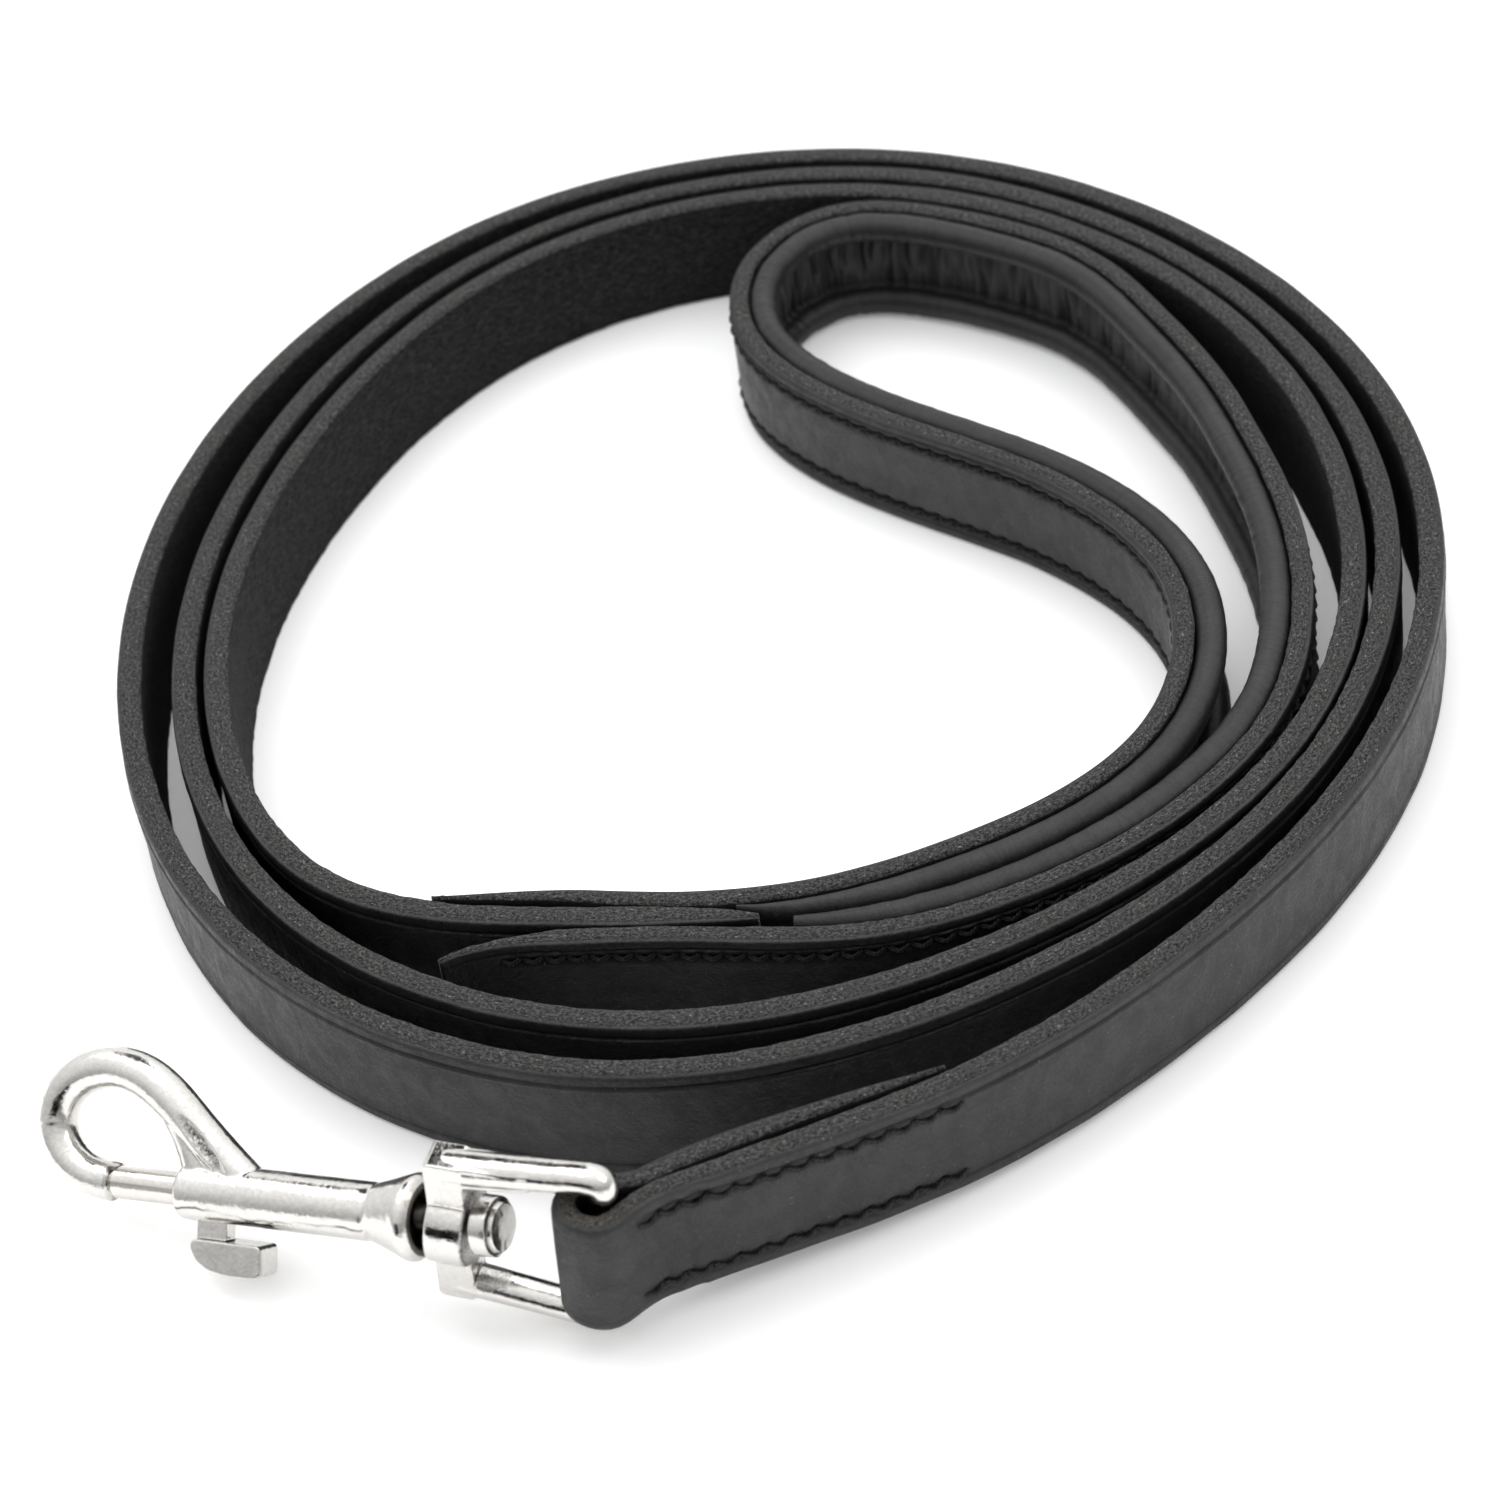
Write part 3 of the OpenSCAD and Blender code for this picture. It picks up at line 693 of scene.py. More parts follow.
def grain_relief(strap, s):
    """Depth of each grain point below the flat face, and the painted shade of its grooves. s is a
    column.
    """
    z, crease, seed, fold = GRAIN_ROWS, strap.crease, strap.seed, strap.fold
    inset = np.minimum(z, WIDTH - z)
    corner = 1 - ((EDGE_ROUND - inset) / EDGE_ROUND) ** 2
    off = np.where(inset < EDGE_ROUND, 0.5 * (1 - np.sqrt(unit(corner))), 0)
    off = off + 0.10 * unit(1 - inset / crease)
    # the crease line along each edge, with a raised lip on its inner side
    wobble = 0.10 * noise1(s, 23, seed + 1)
    depth = CREASE_DEPTH * (1 + 0.30 * noise1(s, 9, seed + 2))
    if fold:
        turn = unit((s - fold[0] + 6) / 6) * unit((fold[1] + 4 - s) / 6)
        depth = depth * (1 - 0.85 * turn)
        off = off + turn * 0.35 * unit(1 - inset / 1.6) ** 2
    for centre, inward in ((crease, 0.5), (WIDTH - crease, -0.5)):
        off = (off + depth * bump(z, centre + wobble, 0.26)
               - 0.40 * depth * bump(z, centre + wobble + inward, 0.26))
    # painted shade along the crease lines
    shade = 0.35 * (depth / CREASE_DEPTH) * (bump(z, crease + wobble, 0.2)
                                             + bump(z, WIDTH - crease + wobble, 0.2))
    # the sewing groove and its needle holes, with painted shade in them
    for start, end in strap.sewn:
        live = unit(unit((s - start) / 3) * unit((end - s) / 3) * 3)
        phase = (s - start) / strap.pitch
        hole = np.exp(-(((phase - np.round(phase)) * strap.pitch) / 0.55) ** 2)
        for row in STITCH_ROWS.values():
            mid = stitch_height(row, phase)
            off = off + live * (strap.groove * bump(z, row, 0.75)
                                + 0.55 * hole * bump(z, mid, 0.68) - 0.08 * bump(z, row, 1.7))
            sway = row + 0.1 * np.sin(2 * math.pi * phase)
            shade = shade + live * (0.75 * strap.groove / 0.3 * bump(z, sway, 0.62)
                                    + 0.9 * hole * bump(z, mid, 0.62))
    off = (off + 0.035 * noise2(s, z, 1.1, 1.1, seed + 3) * (inset > 0.5)
           + 0.07 * noise2(s, z, 7, 5, seed + 4))
    # the grain puckers where it lies on the inside of a bend
    bend = strap.path.curvature(s) * strap.grain_side
    crowd = unit(bend * 40 - 0.45) * (inset > 2.4)
    off = off + crowd * (
        0.10 * np.abs(noise2(s + 0.4 * noise1(z, 4, 9), z, 1.5, 11, seed + 13))
        + 0.05 * noise2(s, z, 0.8, 8, seed + 14))
    if fold:
        # the grain is stretched and creased where the strap turns in to the seam
        strain = bump(s, fold[1] + 7, 3.2) + 0.8 * bump(s, fold[0] - 5, 3)
        off = off + strain * (0.16 * noise2(s, z, 0.9, 6, seed + 11)
                              + 0.22 * noise2(s, z, 2.4, 9, seed + 12))
    return off, shade


def strap_leather(name, strap, node):
    """One strap on edge. Each section runs up the grain, over the top, down the flesh."""
    total, seed = strap.path.length, strap.seed
    n = int(round(total / strap.step)) + 1
    s = np.linspace(0, total, n)[:, None]
    thickness = strap.thickness(s)
    grain_depth = strap.grain_depth(s)
    flesh_depth = thickness - grain_depth
    thin = np.clip(thickness / 3.0, 0.15, 1)
    relief, shade = grain_relief(strap, s)
    grain = grain_depth - relief * thin
    w = np.linspace(0, 1, EDGE_ROWS + 2)[1:-1]  # share of the way through the leather

    def through(face):
        return face - (face + flesh_depth - 0.30 * thin) * w

    flesh = -flesh_depth + thin * (0.10 * noise2(s, FLESH_ROWS, 1.3, 1.3, seed + 9)
                                   + 0.09 * noise2(s, FLESH_ROWS, 5, 3, seed + 10)) + 0.02
    drift = 0.10 * noise1(s, 31, seed + 7)
    rough_top = (0.11 * noise2(s, w * 4, 0.8, 0.6, seed + 5)
                 + 0.07 * noise2(s, w * 4, 0.4, 0.4, seed + 6) + drift)
    rough_low = 0.09 * noise2(s, w * 4, 0.8, 0.6, seed + 8)
    crown = 0.16 * (1 - (2 * w - 1) ** 2)
    top = WIDTH - 0.05 + rough_top + crown
    low = 0.10 + np.abs(rough_low) - 0.5 * crown
    offset = np.concatenate([grain, through(grain[:, -1:]), flesh[:, ::-1],
                             through(grain[:, :1])[:, ::-1]], 1)
    grain_rows, flesh_rows = len(GRAIN_ROWS), len(FLESH_ROWS)
    z = np.concatenate([np.broadcast_to(GRAIN_ROWS, grain.shape), top,
                        np.broadcast_to(FLESH_ROWS[::-1], flesh.shape), low[:, ::-1]], 1)
    z[:, 0] = 0.14
    z[:, grain_rows - 1] = (WIDTH - 0.14 + drift)[:, 0]
    m = offset.shape[1]
    part = np.repeat([0, 1, 2, 1], [grain_rows - 1, EDGE_ROWS + 1, flesh_rows - 1, EDGE_ROWS + 1])
    face_materials = np.tile(part, n - 1).tolist() + [1, 1]
    # over the top edge the second coordinate is the true distance through the leather
    flesh_start = grain_rows + EDGE_ROWS
    across = np.zeros((n, m))
    across[:, :grain_rows] = GRAIN_ROWS
    across[:, grain_rows:flesh_start + 1] = (
        WIDTH + (grain_depth - offset[:, grain_rows:flesh_start + 1]))
    across[:, flesh_start + 1:] = np.concatenate([
        2 * WIDTH + 4 - FLESH_ROWS[-2::-1], 2 * WIDTH + 4 + w * thickness.mean()])
    # painted shade of the grain's grooves, kept as the shade attribute
    shades = np.zeros((n, m))
    shades[:, :grain_rows] = unit(shade)
    folds = np.zeros((n, m))
    if strap.fold:
        folds += unit((s - strap.fold[0]) / 5) * unit((strap.fold[1] - s) / 5)
    attributes = {"st": strip_coords(s, across), "shade": shades.ravel(), "fold": folds.ravel()}
    lead_object(name, lay(strap, s, offset, z), grid_faces(n, m), [M_GRAIN, M_EDGE, M_FLESH],
                node, attributes, face_materials)


strap_leather("lead_strap_leather", lead, "lead_strap")
strap_leather("handle_strap_leather", handle, "handle_strap")


# ------------------------------------------------------------------ threads
def thread(name, strap, row, node):
    """One row of stitches: a thread that dips into the grain once a pitch."""
    sides, pitch = 10, strap.pitch
    parts, coords = [], []
    for start, end in strap.sewn:
        count = int((end - start) / pitch)
        s = np.linspace(start, start + count * pitch, count * 14 + 1)
        phase = (s - start) / pitch
        wave = np.abs(np.sin(math.pi * phase)) ** 0.6
        offset = strap.grain_depth(s) - 0.36 - strap.thread_sunk + wave * 0.58
        z = stitch_height(row, phase) + 0.05 * noise1(s, 2.7, 5)
        verts, faces = tube_mesh(
            lay(strap, s, offset, z), strap.thread_radius * (0.72 + 0.36 * wave), sides,
            swell=lambda i, angle: 1 + 0.10 * np.cos(2 * angle - i * 0.9))
        parts.append((verts, faces))
        rings = len(verts) // sides
        along = np.interp(np.linspace(0, 1, rings), np.linspace(0, 1, len(s)), s)
        coords.append(strip_coords(along[:, None], np.arange(sides) * 0.25))
    verts, faces = merge(parts)
    lead_object(name, verts, faces, [M_THREAD], node, {"st": np.concatenate(coords)})


for label, row in STITCH_ROWS.items():
    thread(f"snap_end_thread_{label}", lead, row, f"snap_end_stitching_{label}")
    thread(f"handle_thread_{label}", handle, row, f"handle_stitching_{label}")

# ------------------------------------------------------------------ lining and cords
ROLL_R = 2.4        # outer radius of the roll along each edge
LINING_T = 0.8
CORD_R = 1.42
ROLL_LOW, ROLL_HIGH = 2.45, 18.0  # heights of the roll centres
# distance from the nearer strap end, share of the full roll depth
SQUEEZE = np.array([[44, 0.17], [48, 0.39], [53, 0.59], [60, 0.74], [68, 0.87], [80, 0.94],
                    [100, 1]])


def squeeze(s):
    return np.interp(np.minimum(s, LOOP - s), SQUEEZE[:, 0], SQUEEZE[:, 1])


def roll_arc(height, radius, start, end, count):
    """Arc of (depth from the strap, height) points round a roll's centre."""
    t = np.radians(np.linspace(start, end, count))
    return np.stack([ROLL_R + radius * np.cos(t), height + radius * np.sin(t)], 1)


def lining():
    """Soft lining on the flesh side: a web between two rolls, as one closed section."""
    s = np.linspace(45.0, LOOP - 52.0, int((LOOP - 96) / level(0.32)))[:, None]
    n = len(s)
    ROLL, WEB, INSIDE = 1, 2, 0
    roll_n, web_n, inner_n = 26, 9, 12 + 4 + 12
    counts = [roll_n, web_n, roll_n, inner_n]
    inner_r = ROLL_R - LINING_T
    outer_high = roll_arc(ROLL_HIGH, ROLL_R, 190, -100, roll_n)
    outer_low = roll_arc(ROLL_LOW, ROLL_R, 100, -190, roll_n)
    web_top, web_low = ROLL_HIGH - ROLL_R - 0.9, ROLL_LOW + ROLL_R + 0.9
    section = np.concatenate([
        outer_high,
        np.stack([np.full(web_n, LINING_T + 0.15), np.linspace(web_top, web_low, web_n)], 1),
        outer_low,
        roll_arc(ROLL_LOW, inner_r, -190, 100, 12),
        np.stack([np.full(4, 0.0), np.linspace(web_low - 0.3, web_top + 0.3, 4)], 1),
        roll_arc(ROLL_HIGH, inner_r, -100, 190, 12)])
    kind = np.repeat([ROLL, WEB, ROLL, INSIDE], counts)
    outward = np.concatenate([
        (outer_high - [ROLL_R, ROLL_HIGH]) / ROLL_R, np.tile([1.0, 0.0], (web_n, 1)),
        (outer_low - [ROLL_R, ROLL_LOW]) / ROLL_R, np.zeros((inner_n, 2))])
    round_roll = np.linspace(0, 7, roll_n)
    around = np.concatenate([round_roll, np.zeros(web_n), round_roll, np.zeros(inner_n)])

    # the lining is on the right of travel: it is crowded where the path turns right
    crowd = unit(-loop_path.curvature(s) * 22)
    heights = section[:, 1]
    lean = s + 0.5 * noise1(heights, 3, 31)
    fine_ridge = 1 - np.abs(noise2(lean, heights, 0.95, 6.0, 32)) * 2
    broad_ridge = 1 - np.abs(noise2(lean, heights, 1.7, 8.0, 33)) * 2
    web_wrinkle = np.clip((0.27 + 0.25 * crowd) * (0.75 * fine_ridge + 0.75 * broad_ridge),
                          -0.72, 0.9)
    roll_wrinkle = ((0.05 + 0.09 * crowd) * (0.7 * noise2(s, around, 0.95, 2.2, 34)
                                             + 0.7 * noise2(s, around, 2.2, 3.0, 35))
                    + 0.10 * noise2(s, around, 11, 3.0, 36))
    puff = np.where(kind == WEB, web_wrinkle, np.where(kind == ROLL, roll_wrinkle, 0))
    shaped = section + outward * puff[..., None]
    pressed = squeeze(s)
    depth = LOOP_T / 2 + 0.04 + shaped[..., 0] * pressed
    # the upper roll narrows in height a little where it is pinched
    z = shaped[..., 1]
    pinch = unit((0.75 - pressed) / 0.4)
    z = np.where(z > 14, ROLL_HIGH + (z - ROLL_HIGH) * (1 - 0.12 * pinch), z)

    # painted shade in the hollows of the web's wrinkles and on the inner faces against the strap
    wrinkle_shade = np.clip(0.45 - 0.45 * (fine_ridge + broad_ridge), 0, 0.8)
    shade = np.where(kind == INSIDE, 0.75, 0.0) + np.where(kind == WEB, wrinkle_shade, 0)
    # painted shade, darker where the rolls meet the strap and the web
    for columns, amount in ((slice(0, 2), 0.5), (slice(24, 27), 0.35), (slice(34, 36), 0.35)):
        shade[:, columns] += amount
    attributes = {"st": strip_coords(s, walked(section)), "shade": unit(shade).ravel()}
    lead_object("handle_lining_leather", lay(handle, s, -depth, z), grid_faces(n, len(section)),
                [M_SOFT], "handle_lining", attributes)


def edge_cord(label, height):
    """The cord inside one roll of the lining."""
    sides = 18
    s = np.linspace(46.5, LOOP - 54.5, 420)
    pressed = squeeze(s)
    depth = LOOP_T / 2 + 0.06 + ROLL_R * pressed
    verts, faces = tube_mesh(
        lay(handle, s, -depth, height), CORD_R * np.clip(pressed, 0.3, 1), sides,
        swell=lambda i, angle: 1 - 0.09 * np.abs(np.sin(1.5 * angle + i * 0.55)))
    along = np.linspace(0, LOOP, len(verts) // sides)[:, None]
    lead_object(f"edge_cord_{label}", verts, faces, [M_CORD], f"{label}_edge_cord",
                {"st": strip_coords(along, np.arange(sides) * 0.5)})


lining()
edge_cord("upper", ROLL_HIGH)
edge_cord("lower", ROLL_LOW)


# ------------------------------------------------------------------ hardware frames
def rotation(roll, pitch, yaw):
    a, b, c = (math.radians(x) for x in (roll, pitch, yaw))
    rx = np.array([[1, 0, 0], [0, math.cos(a), -math.sin(a)], [0, math.sin(a), math.cos(a)]])
    ry = np.array([[math.cos(b), 0, math.sin(b)], [0, 1, 0], [-math.sin(b), 0, math.cos(b)]])
    rz = np.array([[math.cos(c), -math.sin(c), 0], [math.sin(c), math.cos(c), 0], [0, 0, 1]])
    return rz @ ry @ rx


# Eye frame: origin mid-bar, z up the bar, x towards the base.
# Snap frame: origin at the swivel, x along the barrel, hook on +z, thumb piece on -z.
EYE_YAW = 158
joints = {j["name"]: j for j in frame["joints"]}
bar_up = np.array(joints["eye_pivot"]["axis"])
yaw = math.radians(EYE_YAW)
pitch = math.degrees(math.atan(
    -(bar_up[0] * math.cos(yaw) + bar_up[1] * math.sin(yaw)) / bar_up[2]))
roll = math.degrees(math.asin(bar_up[0] * math.sin(yaw) - bar_up[1] * math.cos(yaw)))
EYE_FRAME = (rotation(roll, -pitch, EYE_YAW), np.array(joints["eye_pivot"]["pos_m"]) * 1000)
SNAP_FRAME = (rotation(40, 9, 152), np.array(joints["snap_swivel"]["pos_m"]) * 1000)

VOXEL = level(0.16)
SMOOTHING = level(6)


def place(verts, local_frame):
    turn, origin = local_frame
    return np.asarray(verts) @ turn.T + origin


def metal_object(name, verts, faces, body, node, seam=None, rough=0.0, material=M_NICKEL,
                 local_frame=SNAP_FRAME):
    """A metal part in its local frame. It is darkened along parting lines and by painted shade in
    bores and where parts meet; rough gives a raw cast face.
    """
    attributes = {}
    if seam is not None:
        attributes = {"seam": unit(seam), "rough": unit(rough) * np.ones(len(verts))}
    return make_object(name, place(verts, local_frame), faces, [material], body, node,
                       attributes)


def blank(name, verts, faces):
    """A working solid that is removed once it has been used."""
    mesh = bpy.data.meshes.new(name)
    mesh.from_pydata(verts.tolist(), [], faces)
    face_outward(mesh)
    obj = bpy.data.objects.new(name, mesh)
    scene.collection.objects.link(obj)
    return obj


def cast(name, parts, cuts=(), voxel=VOXEL, smoothing=SMOOTHING):
    """Joins closed shapes into one skin, rounds where they meet and takes out the cuts."""
    obj = blank(name + "_raw", *merge(parts))
    remesh = obj.modifiers.new("remesh", "REMESH")
    remesh.mode = "VOXEL"
    remesh.voxel_size = voxel
    smooth = obj.modifiers.new("smooth", "SMOOTH")
    smooth.factor = 0.5
    smooth.iterations = smoothing
    cutters = [blank(*cut) for cut in cuts]
    for k, cutter in enumerate(cutters):
        cut = obj.modifiers.new(f"cut{k}", "BOOLEAN")
        cut.operation = "DIFFERENCE"
        cut.solver = "EXACT"
        cut.object = cutter
    graph = bpy.context.evaluated_depsgraph_get()
    graph.update()
    mesh = bpy.data.meshes.new_from_object(obj.evaluated_get(graph))
    verts = np.zeros(len(mesh.vertices) * 3)
    mesh.vertices.foreach_get("co", verts)
    faces = [list(p.vertices) for p in mesh.polygons]
    for used in [obj] + cutters:
        bpy.data.objects.remove(used)
    bpy.data.meshes.remove(mesh)
    return verts.reshape(-1, 3), faces


def across_axis(verts, use_z=True):
    """Unit vectors away from the local X axis, or along y alone where use_z is false."""
    v = np.stack([0 * verts[:, 0], verts[:, 1], verts[:, 2] * use_z], 1)
    return v / np.maximum(np.linalg.norm(v, axis=1), 1e-6)[:, None]


# ------------------------------------------------------------------ hardware
BAR_R = 1.7
RIVET_R = 1.8
BOLT_R = 2.4
BORE_R = 2.45
BARREL_R = 4.1


def swivel_eye():
    """Bar, two arms and the bored base."""
    # centre line (x, z), from the base up and over the bar and back
    line = full_bspline([
        [21, 10.9], [14, 11.6], [7, 12.5], [3.0, 13.1], [0.2, 13.35], [-1.0, 12.4],
        [-0.5, 10.6], [0, 8], [0, 0], [0, -8], [-0.5, -10.6], [-1.0, -12.2], [0.2, -13.1],
        [3, -13.0], [7, -12.5], [14, -11.6], [21, -10.9]], 10)
    radius = np.interp(np.abs(line[:, 1]), [9.6, 11.6], [BAR_R, 2.15])
    radius = np.where(line[:, 0] > 1.5, np.interp(line[:, 0], [1.5, 18], [2.1, 2.25]), radius)
    arms = tube_mesh(xz_points(line), radius, 40, up=(0, 1, 0), oval=1.14)
    base = prism_mesh([(18.4, -12.2), (18.9, -12.7), (23.1, -12.7), (23.7, -12.0),
                       (23.75, 12.2), (23.1, 12.95), (18.9, 12.95), (18.4, 12.6)], 2.45)
    boss = revolve_mesh(rounded([(18.25, 0), (18.25, 5.8), (23.75, 5.8), (23.75, 0)], 0.5))
    upper = prism_mesh([(9, 10.6), (14, 9.8), (19, 9.0), (19, 12.9), (12, 13.1), (9, 13.6)], 2.2)
    lower = prism_mesh([(15, -9.9), (19, -9.2), (19, -12.7), (15, -12.9)], 1.8)
    hole = ("hole", *revolve_mesh([(15, 0), (15, 2.6), (28, 2.6), (28, 0)], 64))
    v, faces = cast("eye", [arms, base, boss, upper, lower], [hole])
    v = v + 0.022 * np.stack([noise3(v, 2.6, 50 + k) for k in range(3)], 1)
    # the bar stays inside the strap's fold at every angle of the hinge
    across = np.hypot(v[:, 0], v[:, 1])
    limit = np.interp(np.abs(v[:, 2]), [9.6, 10.4, 10.7, 10.95], [1.82, 1.88, 2.3, 9.0])
    v[:, :2] *= np.where((across < 3.4) & (across > limit),
                         limit / np.maximum(across, 0.1), 1.0)[:, None]
    x, y, z = v.T
    r = np.linalg.norm(v[:, 1:], axis=1)
    # parting line on the lower arm, painted shade in the bore, and raw faces on the inside of the
    # base
    line_y = y + 0.9 + 0.15 * noise1(x, 1.3, 41)
    flash = bump(line_y, 0, 0.14) * (z < -8) * (x > 4) * (x < 19) * 0.9
    bore = unit((2.95 - r) / 0.3) * (x > 17.5)
    rough = (0.75 * unit((18.7 - x) / 0.3) * unit((x - 16.5) / 1.0)
             * (r < 7) * (np.abs(z) < 8.4))
    rough = rough + 0.5 * bump(z, -9.6, 0.7) * (x > 14) * (x < 18.6)
    metal_object("swivel_eye_casting", v, faces, "eye", "swivel_eye", seam=flash + bore,
                 rough=rough, local_frame=EYE_FRAME)


def swivel_rivet():
    """Headed rivet through the eye's base into the barrel."""
    v, faces = revolve_mesh(rounded(
        [(-7.75, 0), (-7.75, 2.0), (-7.6, 3.35), (-6.9, 3.55), (-6.75, 4.15), (-4.3, 4.2),
         (-4.1, 3.9), (-4.1, RIVET_R), (8.9, RIVET_R), (8.9, 0)], 0.22, 4), 72)
    r = np.linalg.norm(v[:, 1:], axis=1)
    dent = 0.05 * noise3(v, 1.6, 61) + 0.03 * noise3(v, 0.7, 62)
    v = v + np.where((v[:, 0] < -4)[:, None], np.stack([dent, 0.7 * dent, 0.7 * dent], 1), 0)
    x = v[:, 0]
    # darker in the ring where the head steps out, and painted shade on the shank below the head
    seam = 0.95 * bump(r, 3.62, 0.13) * (x < -6.2) * (x > -7.5)
    seam = seam + unit((x + 4.4) / 0.4) * (x < 2)
    metal_object("swivel_rivet_steel", v, faces, "snap", "swivel_rivet", seam=seam)


def snap_body():
    """Bored barrel with a slot on -z, and the hook that curls back to meet the bolt."""
    barrel = revolve_mesh(rounded(
        [(4.2, 0), (4.2, 4.7), (5.2, 5.95), (6.1, 6.15), (7.8, 5.55), (9.8, 4.85), (11.6, 4.3),
         (12.4, 3.98), (13.2, BARREL_R), (43.2, BARREL_R), (43.8, 3.7), (43.8, 0)], 0.6))
    # centre lines (x, z) of the hook from its tip, and of the strut inside its bend
    hook_line = full_bspline([
        (56.2, 0), (58.4, 0.1), (61.2, 0.7), (64.2, 2.6), (66.2, 5.6), (66.4, 9.2),
        (64.6, 12.8), (61.2, 15.2), (57.2, 16.25), (53.2, 16.0), (49.6, 14.6), (46.2, 12.2),
        (42.8, 9.2), (39.4, 6.4), (36, 3.8), (33, 1.6)], 14)
    strut_line = full_bspline([(52.0, 15.2), (48.2, 13.4), (45.4, 10.8), (43.2, 7.4),
                               (41.7, 3.8), (41.2, 0.5)], 12)
    s = walked(hook_line)
    hook_r = np.where(s < 14, np.interp(s, [0, 6, 14], [2.85, 2.9, 3.0]),
                      np.interp(hook_line[:, 0], [33, 40, 46, 50, 56],
                                [2.7, 2.9, 3.05, 3.1, 3.05]))
    strut_r = np.interp(np.linspace(0, 1, len(strut_line)), [0, 0.4, 1], [2.8, 2.6, 2.5])
    hook = tube_mesh(xz_points(hook_line), hook_r, 40, up=(0, 1, 0))
    strut = tube_mesh(xz_points(strut_line), strut_r, 36, up=(0, 1, 0))
    web = prism_mesh([(32.5, 2.6), (42.8, 2.2), (43.6, 6.0), (46.0, 11.0), (47, 12.6),
                      (43, 9.6), (38, 5.4)], 2.1)
    shank_r = RIVET_R + 0.01
    v, faces = cast("body", [barrel, hook, strut, web], [
        # the tip is cut square where the bolt meets it
        ("cut_tip", *box_mesh((49.0, -4, -4.0), (56.2, 4, 2.3))),
        ("bore", *revolve_mesh([(8.0, 0), (8.0, BORE_R), (56, BORE_R), (56, 0)], 64)),
        ("shank", *revolve_mesh([(2.0, 0), (2.0, shank_r), (9.5, shank_r), (9.5, 0)], 48)),
        ("slot", *box_mesh((25.8, -1.35, -7), (41.6, 1.35, 0)))])
    # sunk rough recess on both flanks of the web
    along = np.array([-0.71, -0.70])
    from_middle = v[:, [0, 2]] - np.array([39.6, 6.75])
    recess = unit(1.25 - np.hypot((from_middle @ along) / 5.4,
                                  (from_middle @ np.array([-along[1], along[0]])) / 1.05))
    recess = recess * recess * (3 - 2 * recess)
    flank = np.sign(v[:, 1]) * (np.abs(v[:, 1]) > 1.2)
    v[:, 1] -= flank * (recess * (0.75 + 0.16 * noise3(v, 0.6, 71)))
    # soft casting waves outside the bore
    r = np.hypot(v[:, 1], v[:, 2])
    wave = 0.026 * noise3(v, 2.8, 72) + 0.010 * noise3(v, 1.1, 73)
    outward = across_axis(v, use_z=v[:, 0] <= 46)
    v = v + outward * (wave * ((r > 2.7) | (v[:, 0] > 46)))[:, None]
    # parting line along the barrel
    x, y, z = v.T
    line_z = -2.2 + 0.35 * noise1(x, 5.0, 74) + 0.16 * noise1(x, 1.1, 75)
    live = (y > 1.8) * (x > 12.5) * (x < 43.3) * (r > 3.6)
    above = z - line_z
    strength = np.clip(0.7 + 0.7 * noise1(x, 2.2, 76), 0.15, 1)
    seam = bump(above, 0, 0.15) * live * strength
    v = v + outward * (0.05 * (bump(above, 0, 0.17) * live))[:, None]
    x = v[:, 0]
    # painted shade inside the bore and on the swivel face against the eye
    bore_shade = unit((2.75 - r) / 0.25) * (x < 43.7) * (x > 9)
    swivel_face_shade = unit((4.9 - x) / 0.4) * (r < 5.2)
    metal_object("snap_body_casting", v, faces, "snap", "snap_body",
                 seam=seam + 0.8 * bore_shade + swivel_face_shade,
                 rough=recess * 1.15 * (np.abs(v[:, 1]) > 0.9))


def bolt():
    """Sliding rod, stepped down at its spring end."""
    v, faces = revolve_mesh(rounded(
        [(23.5, 0), (23.5, 1.1), (31, 1.1), (31, BOLT_R), (55.3, BOLT_R), (55.9, 1.95),
         (55.9, 0)], 0.25, 4), 72)
    v = v + across_axis(v) * (0.03 * noise3(v, 1.3, 81) - 0.02)[:, None]
    x, y, z = v.T
    line_z = 0.1 + 0.3 * noise1(x, 3.0, 82)
    metal_object("bolt_rod", v, faces, "bolt", "snap_bolt", material=M_BOLT,
                 seam=0.6 * bump(z, line_z, 0.15) * (y > 0) * (x > 44))


def thumb_piece():
    """Foot and stem that push the bolt back through the slot."""
    outline = rounded(
        [(29.7, -9.0), (29.8, -6.75), (30.3, -6.35), (40.8, -6.35), (41.45, -6.9),
         (41.4, -7.9), (40.4, -9.4), (38.5, -10.5), (36.0, -11.0), (32.6, -11.05),
         (30.4, -10.95), (29.7, -10.3)], 0.4, 3)
    foot = prism_mesh(outline[::-1], 2.3)
    stem = box_mesh((36.1, -1.2, -6.9), (41.1, 1.2, -1.1))
    v, faces = cast("thumb", [foot, stem], voxel=level(0.11), smoothing=SMOOTHING + 2)
    v = v + 0.02 * np.stack([noise3(v, 1.8, 90 + k) for k in range(3)], 1)
    x, y, z = v.T
    line = bump(y, 2.0, 0.2) * (z < -6.7) * unit(0.75 + 0.5 * noise1(x, 1.5, 93))
    # painted shade along the top of the foot, which faces the barrel
    top = bump(z, -6.45, 0.25) * (np.abs(y) < 2.2) * 0.35
    metal_object("thumb_piece", v, faces, "bolt", "thumb_button", seam=line * 0.9 + top)


def spring():
    """Compression spring in the barrel, closed up at each end."""
    turns, seat, coil_r, wire_r = 12, 9.25, 1.75, 0.25
    free_length, pressed_length = 21.4, 12.4
    k = np.linspace(0, 1, turns * 40 + 1)
    closed = 1.4 / turns
    x = seat + free_length * np.interp(k, [0, closed, 1 - closed, 1], [0, 0.04, 0.96, 1])
    t = 2 * math.pi * turns * k
    v, faces = tube_mesh(np.stack([x, coil_r * np.cos(t), coil_r * np.sin(t)], 1), wire_r, 10,
                         up=(1, 0, 0))
    obj = metal_object("spring_coil", v, faces, "snap", "bolt_spring", material=M_STEEL)
    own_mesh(obj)


swivel_eye()
swivel_rivet()
snap_body()
bolt()
thumb_piece()
spring()


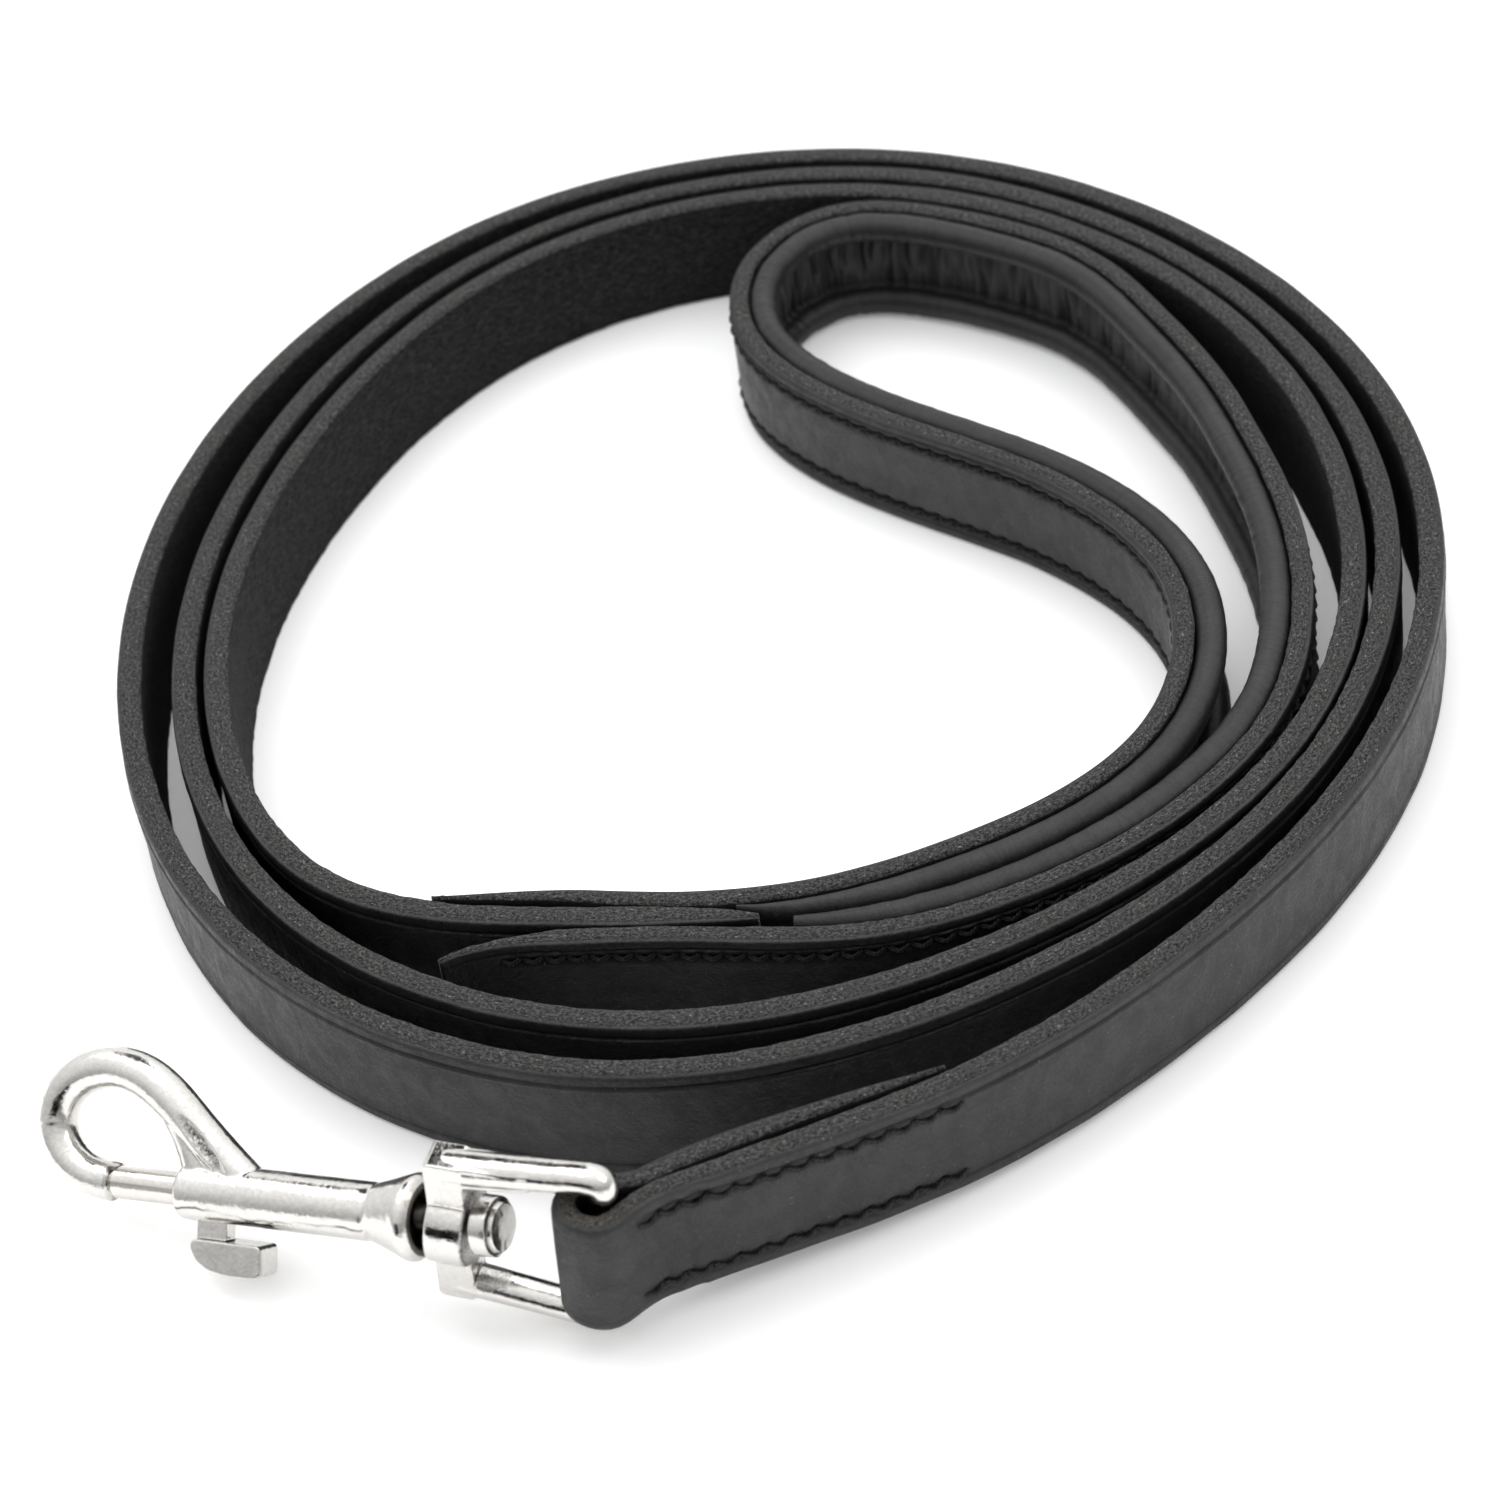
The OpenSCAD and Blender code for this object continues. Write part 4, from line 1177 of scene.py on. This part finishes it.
# ------------------------------------------------------------------ stage (metres)
def stage_plane(name, size, material, location, angles=(0, 0, 0)):
    mesh = bpy.data.meshes.new(name)
    h = size / 2
    mesh.from_pydata([(-h, -h, 0), (h, -h, 0), (h, h, 0), (-h, h, 0)], [], [[0, 1, 2, 3]])
    mesh.materials.append(material)
    obj = bpy.data.objects.new(name, mesh)
    obj.location = location
    obj.rotation_euler = [math.radians(a) for a in angles]
    scene.collection.objects.link(obj)
    return obj


def floor_mat():
    """Off-white floor with a little glow of its own."""
    mat = Shader("studio_floor")
    coords = mat.scaled(mat.node("TexCoord").outputs["Object"], (30, 30, 30))
    fine = mat.noise(coords, scale=1.0, detail=2, rough=0.5)
    mat.bsdf.inputs["Emission Color"].default_value = (1, 1, 1, 1)
    mat.bsdf.inputs["Emission Strength"].default_value = 0.17
    color = mat.ramp(fine, [(0.3, (0.93, 0.93, 0.935)), (0.7, 0.95)])
    return mat.done(color, rough=0.85, spec=0.1)


stage_plane("studio_floor", size=6.0, material=floor_mat(), location=(0, 0, -0.0002))
# dark cards that show only in reflections
dark = Shader("dark_card").done(0.01, rough=1.0, spec=0.0)
for card in (
        stage_plane("card_low", size=0.5, material=dark, location=(-0.45, -0.75, 0.10),
                    angles=(80, 0, -30)),
        stage_plane("card_back", size=0.35, material=dark, location=(-0.15, 0.45, 0.55),
                    angles=(-60, 0, 10))):
    card.visible_camera = False
    card.visible_diffuse = False
    card.visible_shadow = False


def studio_world():
    """White surround, brighter overhead and towards +y."""
    world = bpy.data.worlds.new("studio")
    scene.world = world
    world.use_nodes = True
    nodes, link = world.node_tree.nodes, world.node_tree.links.new
    nodes.clear()
    out = nodes.new("ShaderNodeOutputWorld")
    background = nodes.new("ShaderNodeBackground")
    coords = nodes.new("ShaderNodeTexCoord")
    split = nodes.new("ShaderNodeSeparateXYZ")
    by_height = nodes.new("ShaderNodeMapRange")
    by_side = nodes.new("ShaderNodeMath")
    by_side.operation = "MULTIPLY_ADD"
    link(background.outputs[0], out.inputs[0])
    link(coords.outputs["Generated"], split.inputs[0])
    link(split.outputs[2], by_height.inputs[0])
    link(split.outputs[1], by_side.inputs[0])
    link(by_height.outputs[0], by_side.inputs[2])
    link(by_side.outputs[0], background.inputs[1])
    for key, value in {"From Min": 0.0, "From Max": 1.0, "To Min": 0.60, "To Max": 1.25}.items():
        by_height.inputs[key].default_value = value
    by_side.inputs[1].default_value = 0.34
    background.inputs[0].default_value = (1, 1, 1, 1)


def area_light(name, location, size, power):
    """A square light aimed at the origin."""
    light = bpy.data.lights.new(name, "AREA")
    light.shape = "RECTANGLE"
    light.size = size
    light.size_y = size
    light.energy = power
    obj = bpy.data.objects.new(name, light)
    obj.location = location
    obj.rotation_mode = "QUATERNION"
    obj.rotation_quaternion = (-Vector(location)).to_track_quat("-Z", "Y")
    scene.collection.objects.link(obj)


studio_world()
area_light("key", location=(-0.25, 0.55, 1.15), size=1.3, power=5.0)
area_light("fill", location=(0.8, -0.2, 0.9), size=0.6, power=1.5)

# ------------------------------------------------------------------ camera
CAM_DOWN = math.radians(41.74)   # looks down by this, towards +y
CAM_ROLL = math.radians(-9.33)
CAM_DISTANCE = 616.55            # mm from the plan origin
FOCUS_DISTANCE = 0.572           # m

cam_data = bpy.data.cameras.new("camera")
cam_data.sensor_width = 36.0
cam_data.lens = 94.07
cam_data.clip_start = 0.05
cam_data.clip_end = 20
cam = bpy.data.objects.new("camera", cam_data)
scene.collection.objects.link(cam)
forward = Vector((0, math.cos(CAM_DOWN), -math.sin(CAM_DOWN)))
level_right = Vector((1, 0, 0))
level_up = level_right.cross(forward)
right = math.cos(CAM_ROLL) * level_right + math.sin(CAM_ROLL) * level_up
up = -math.sin(CAM_ROLL) * level_right + math.cos(CAM_ROLL) * level_up
turn = Matrix((right, up, -forward)).transposed()
cam_mm = SHIFT + np.array([0, -CAM_DISTANCE * math.cos(CAM_DOWN),
                           CAM_DISTANCE * math.sin(CAM_DOWN)])
cam_at = Vector(cam_mm / 1000)
cam.matrix_world = Matrix.Translation(cam_at) @ turn.to_4x4()
scene.camera = cam
scene.view_settings.view_transform = "Standard"
scene.view_settings.look = "None"
scene.view_settings.gamma = 0.83
scene.view_settings.exposure = 0.16
focus = bpy.data.objects.new("focus_point", None)
focus.location = cam_at + FOCUS_DISTANCE * forward
scene.collection.objects.link(focus)
cam_data.dof.use_dof = True
cam_data.dof.focus_object = focus
cam_data.dof.aperture_fstop = 26.0
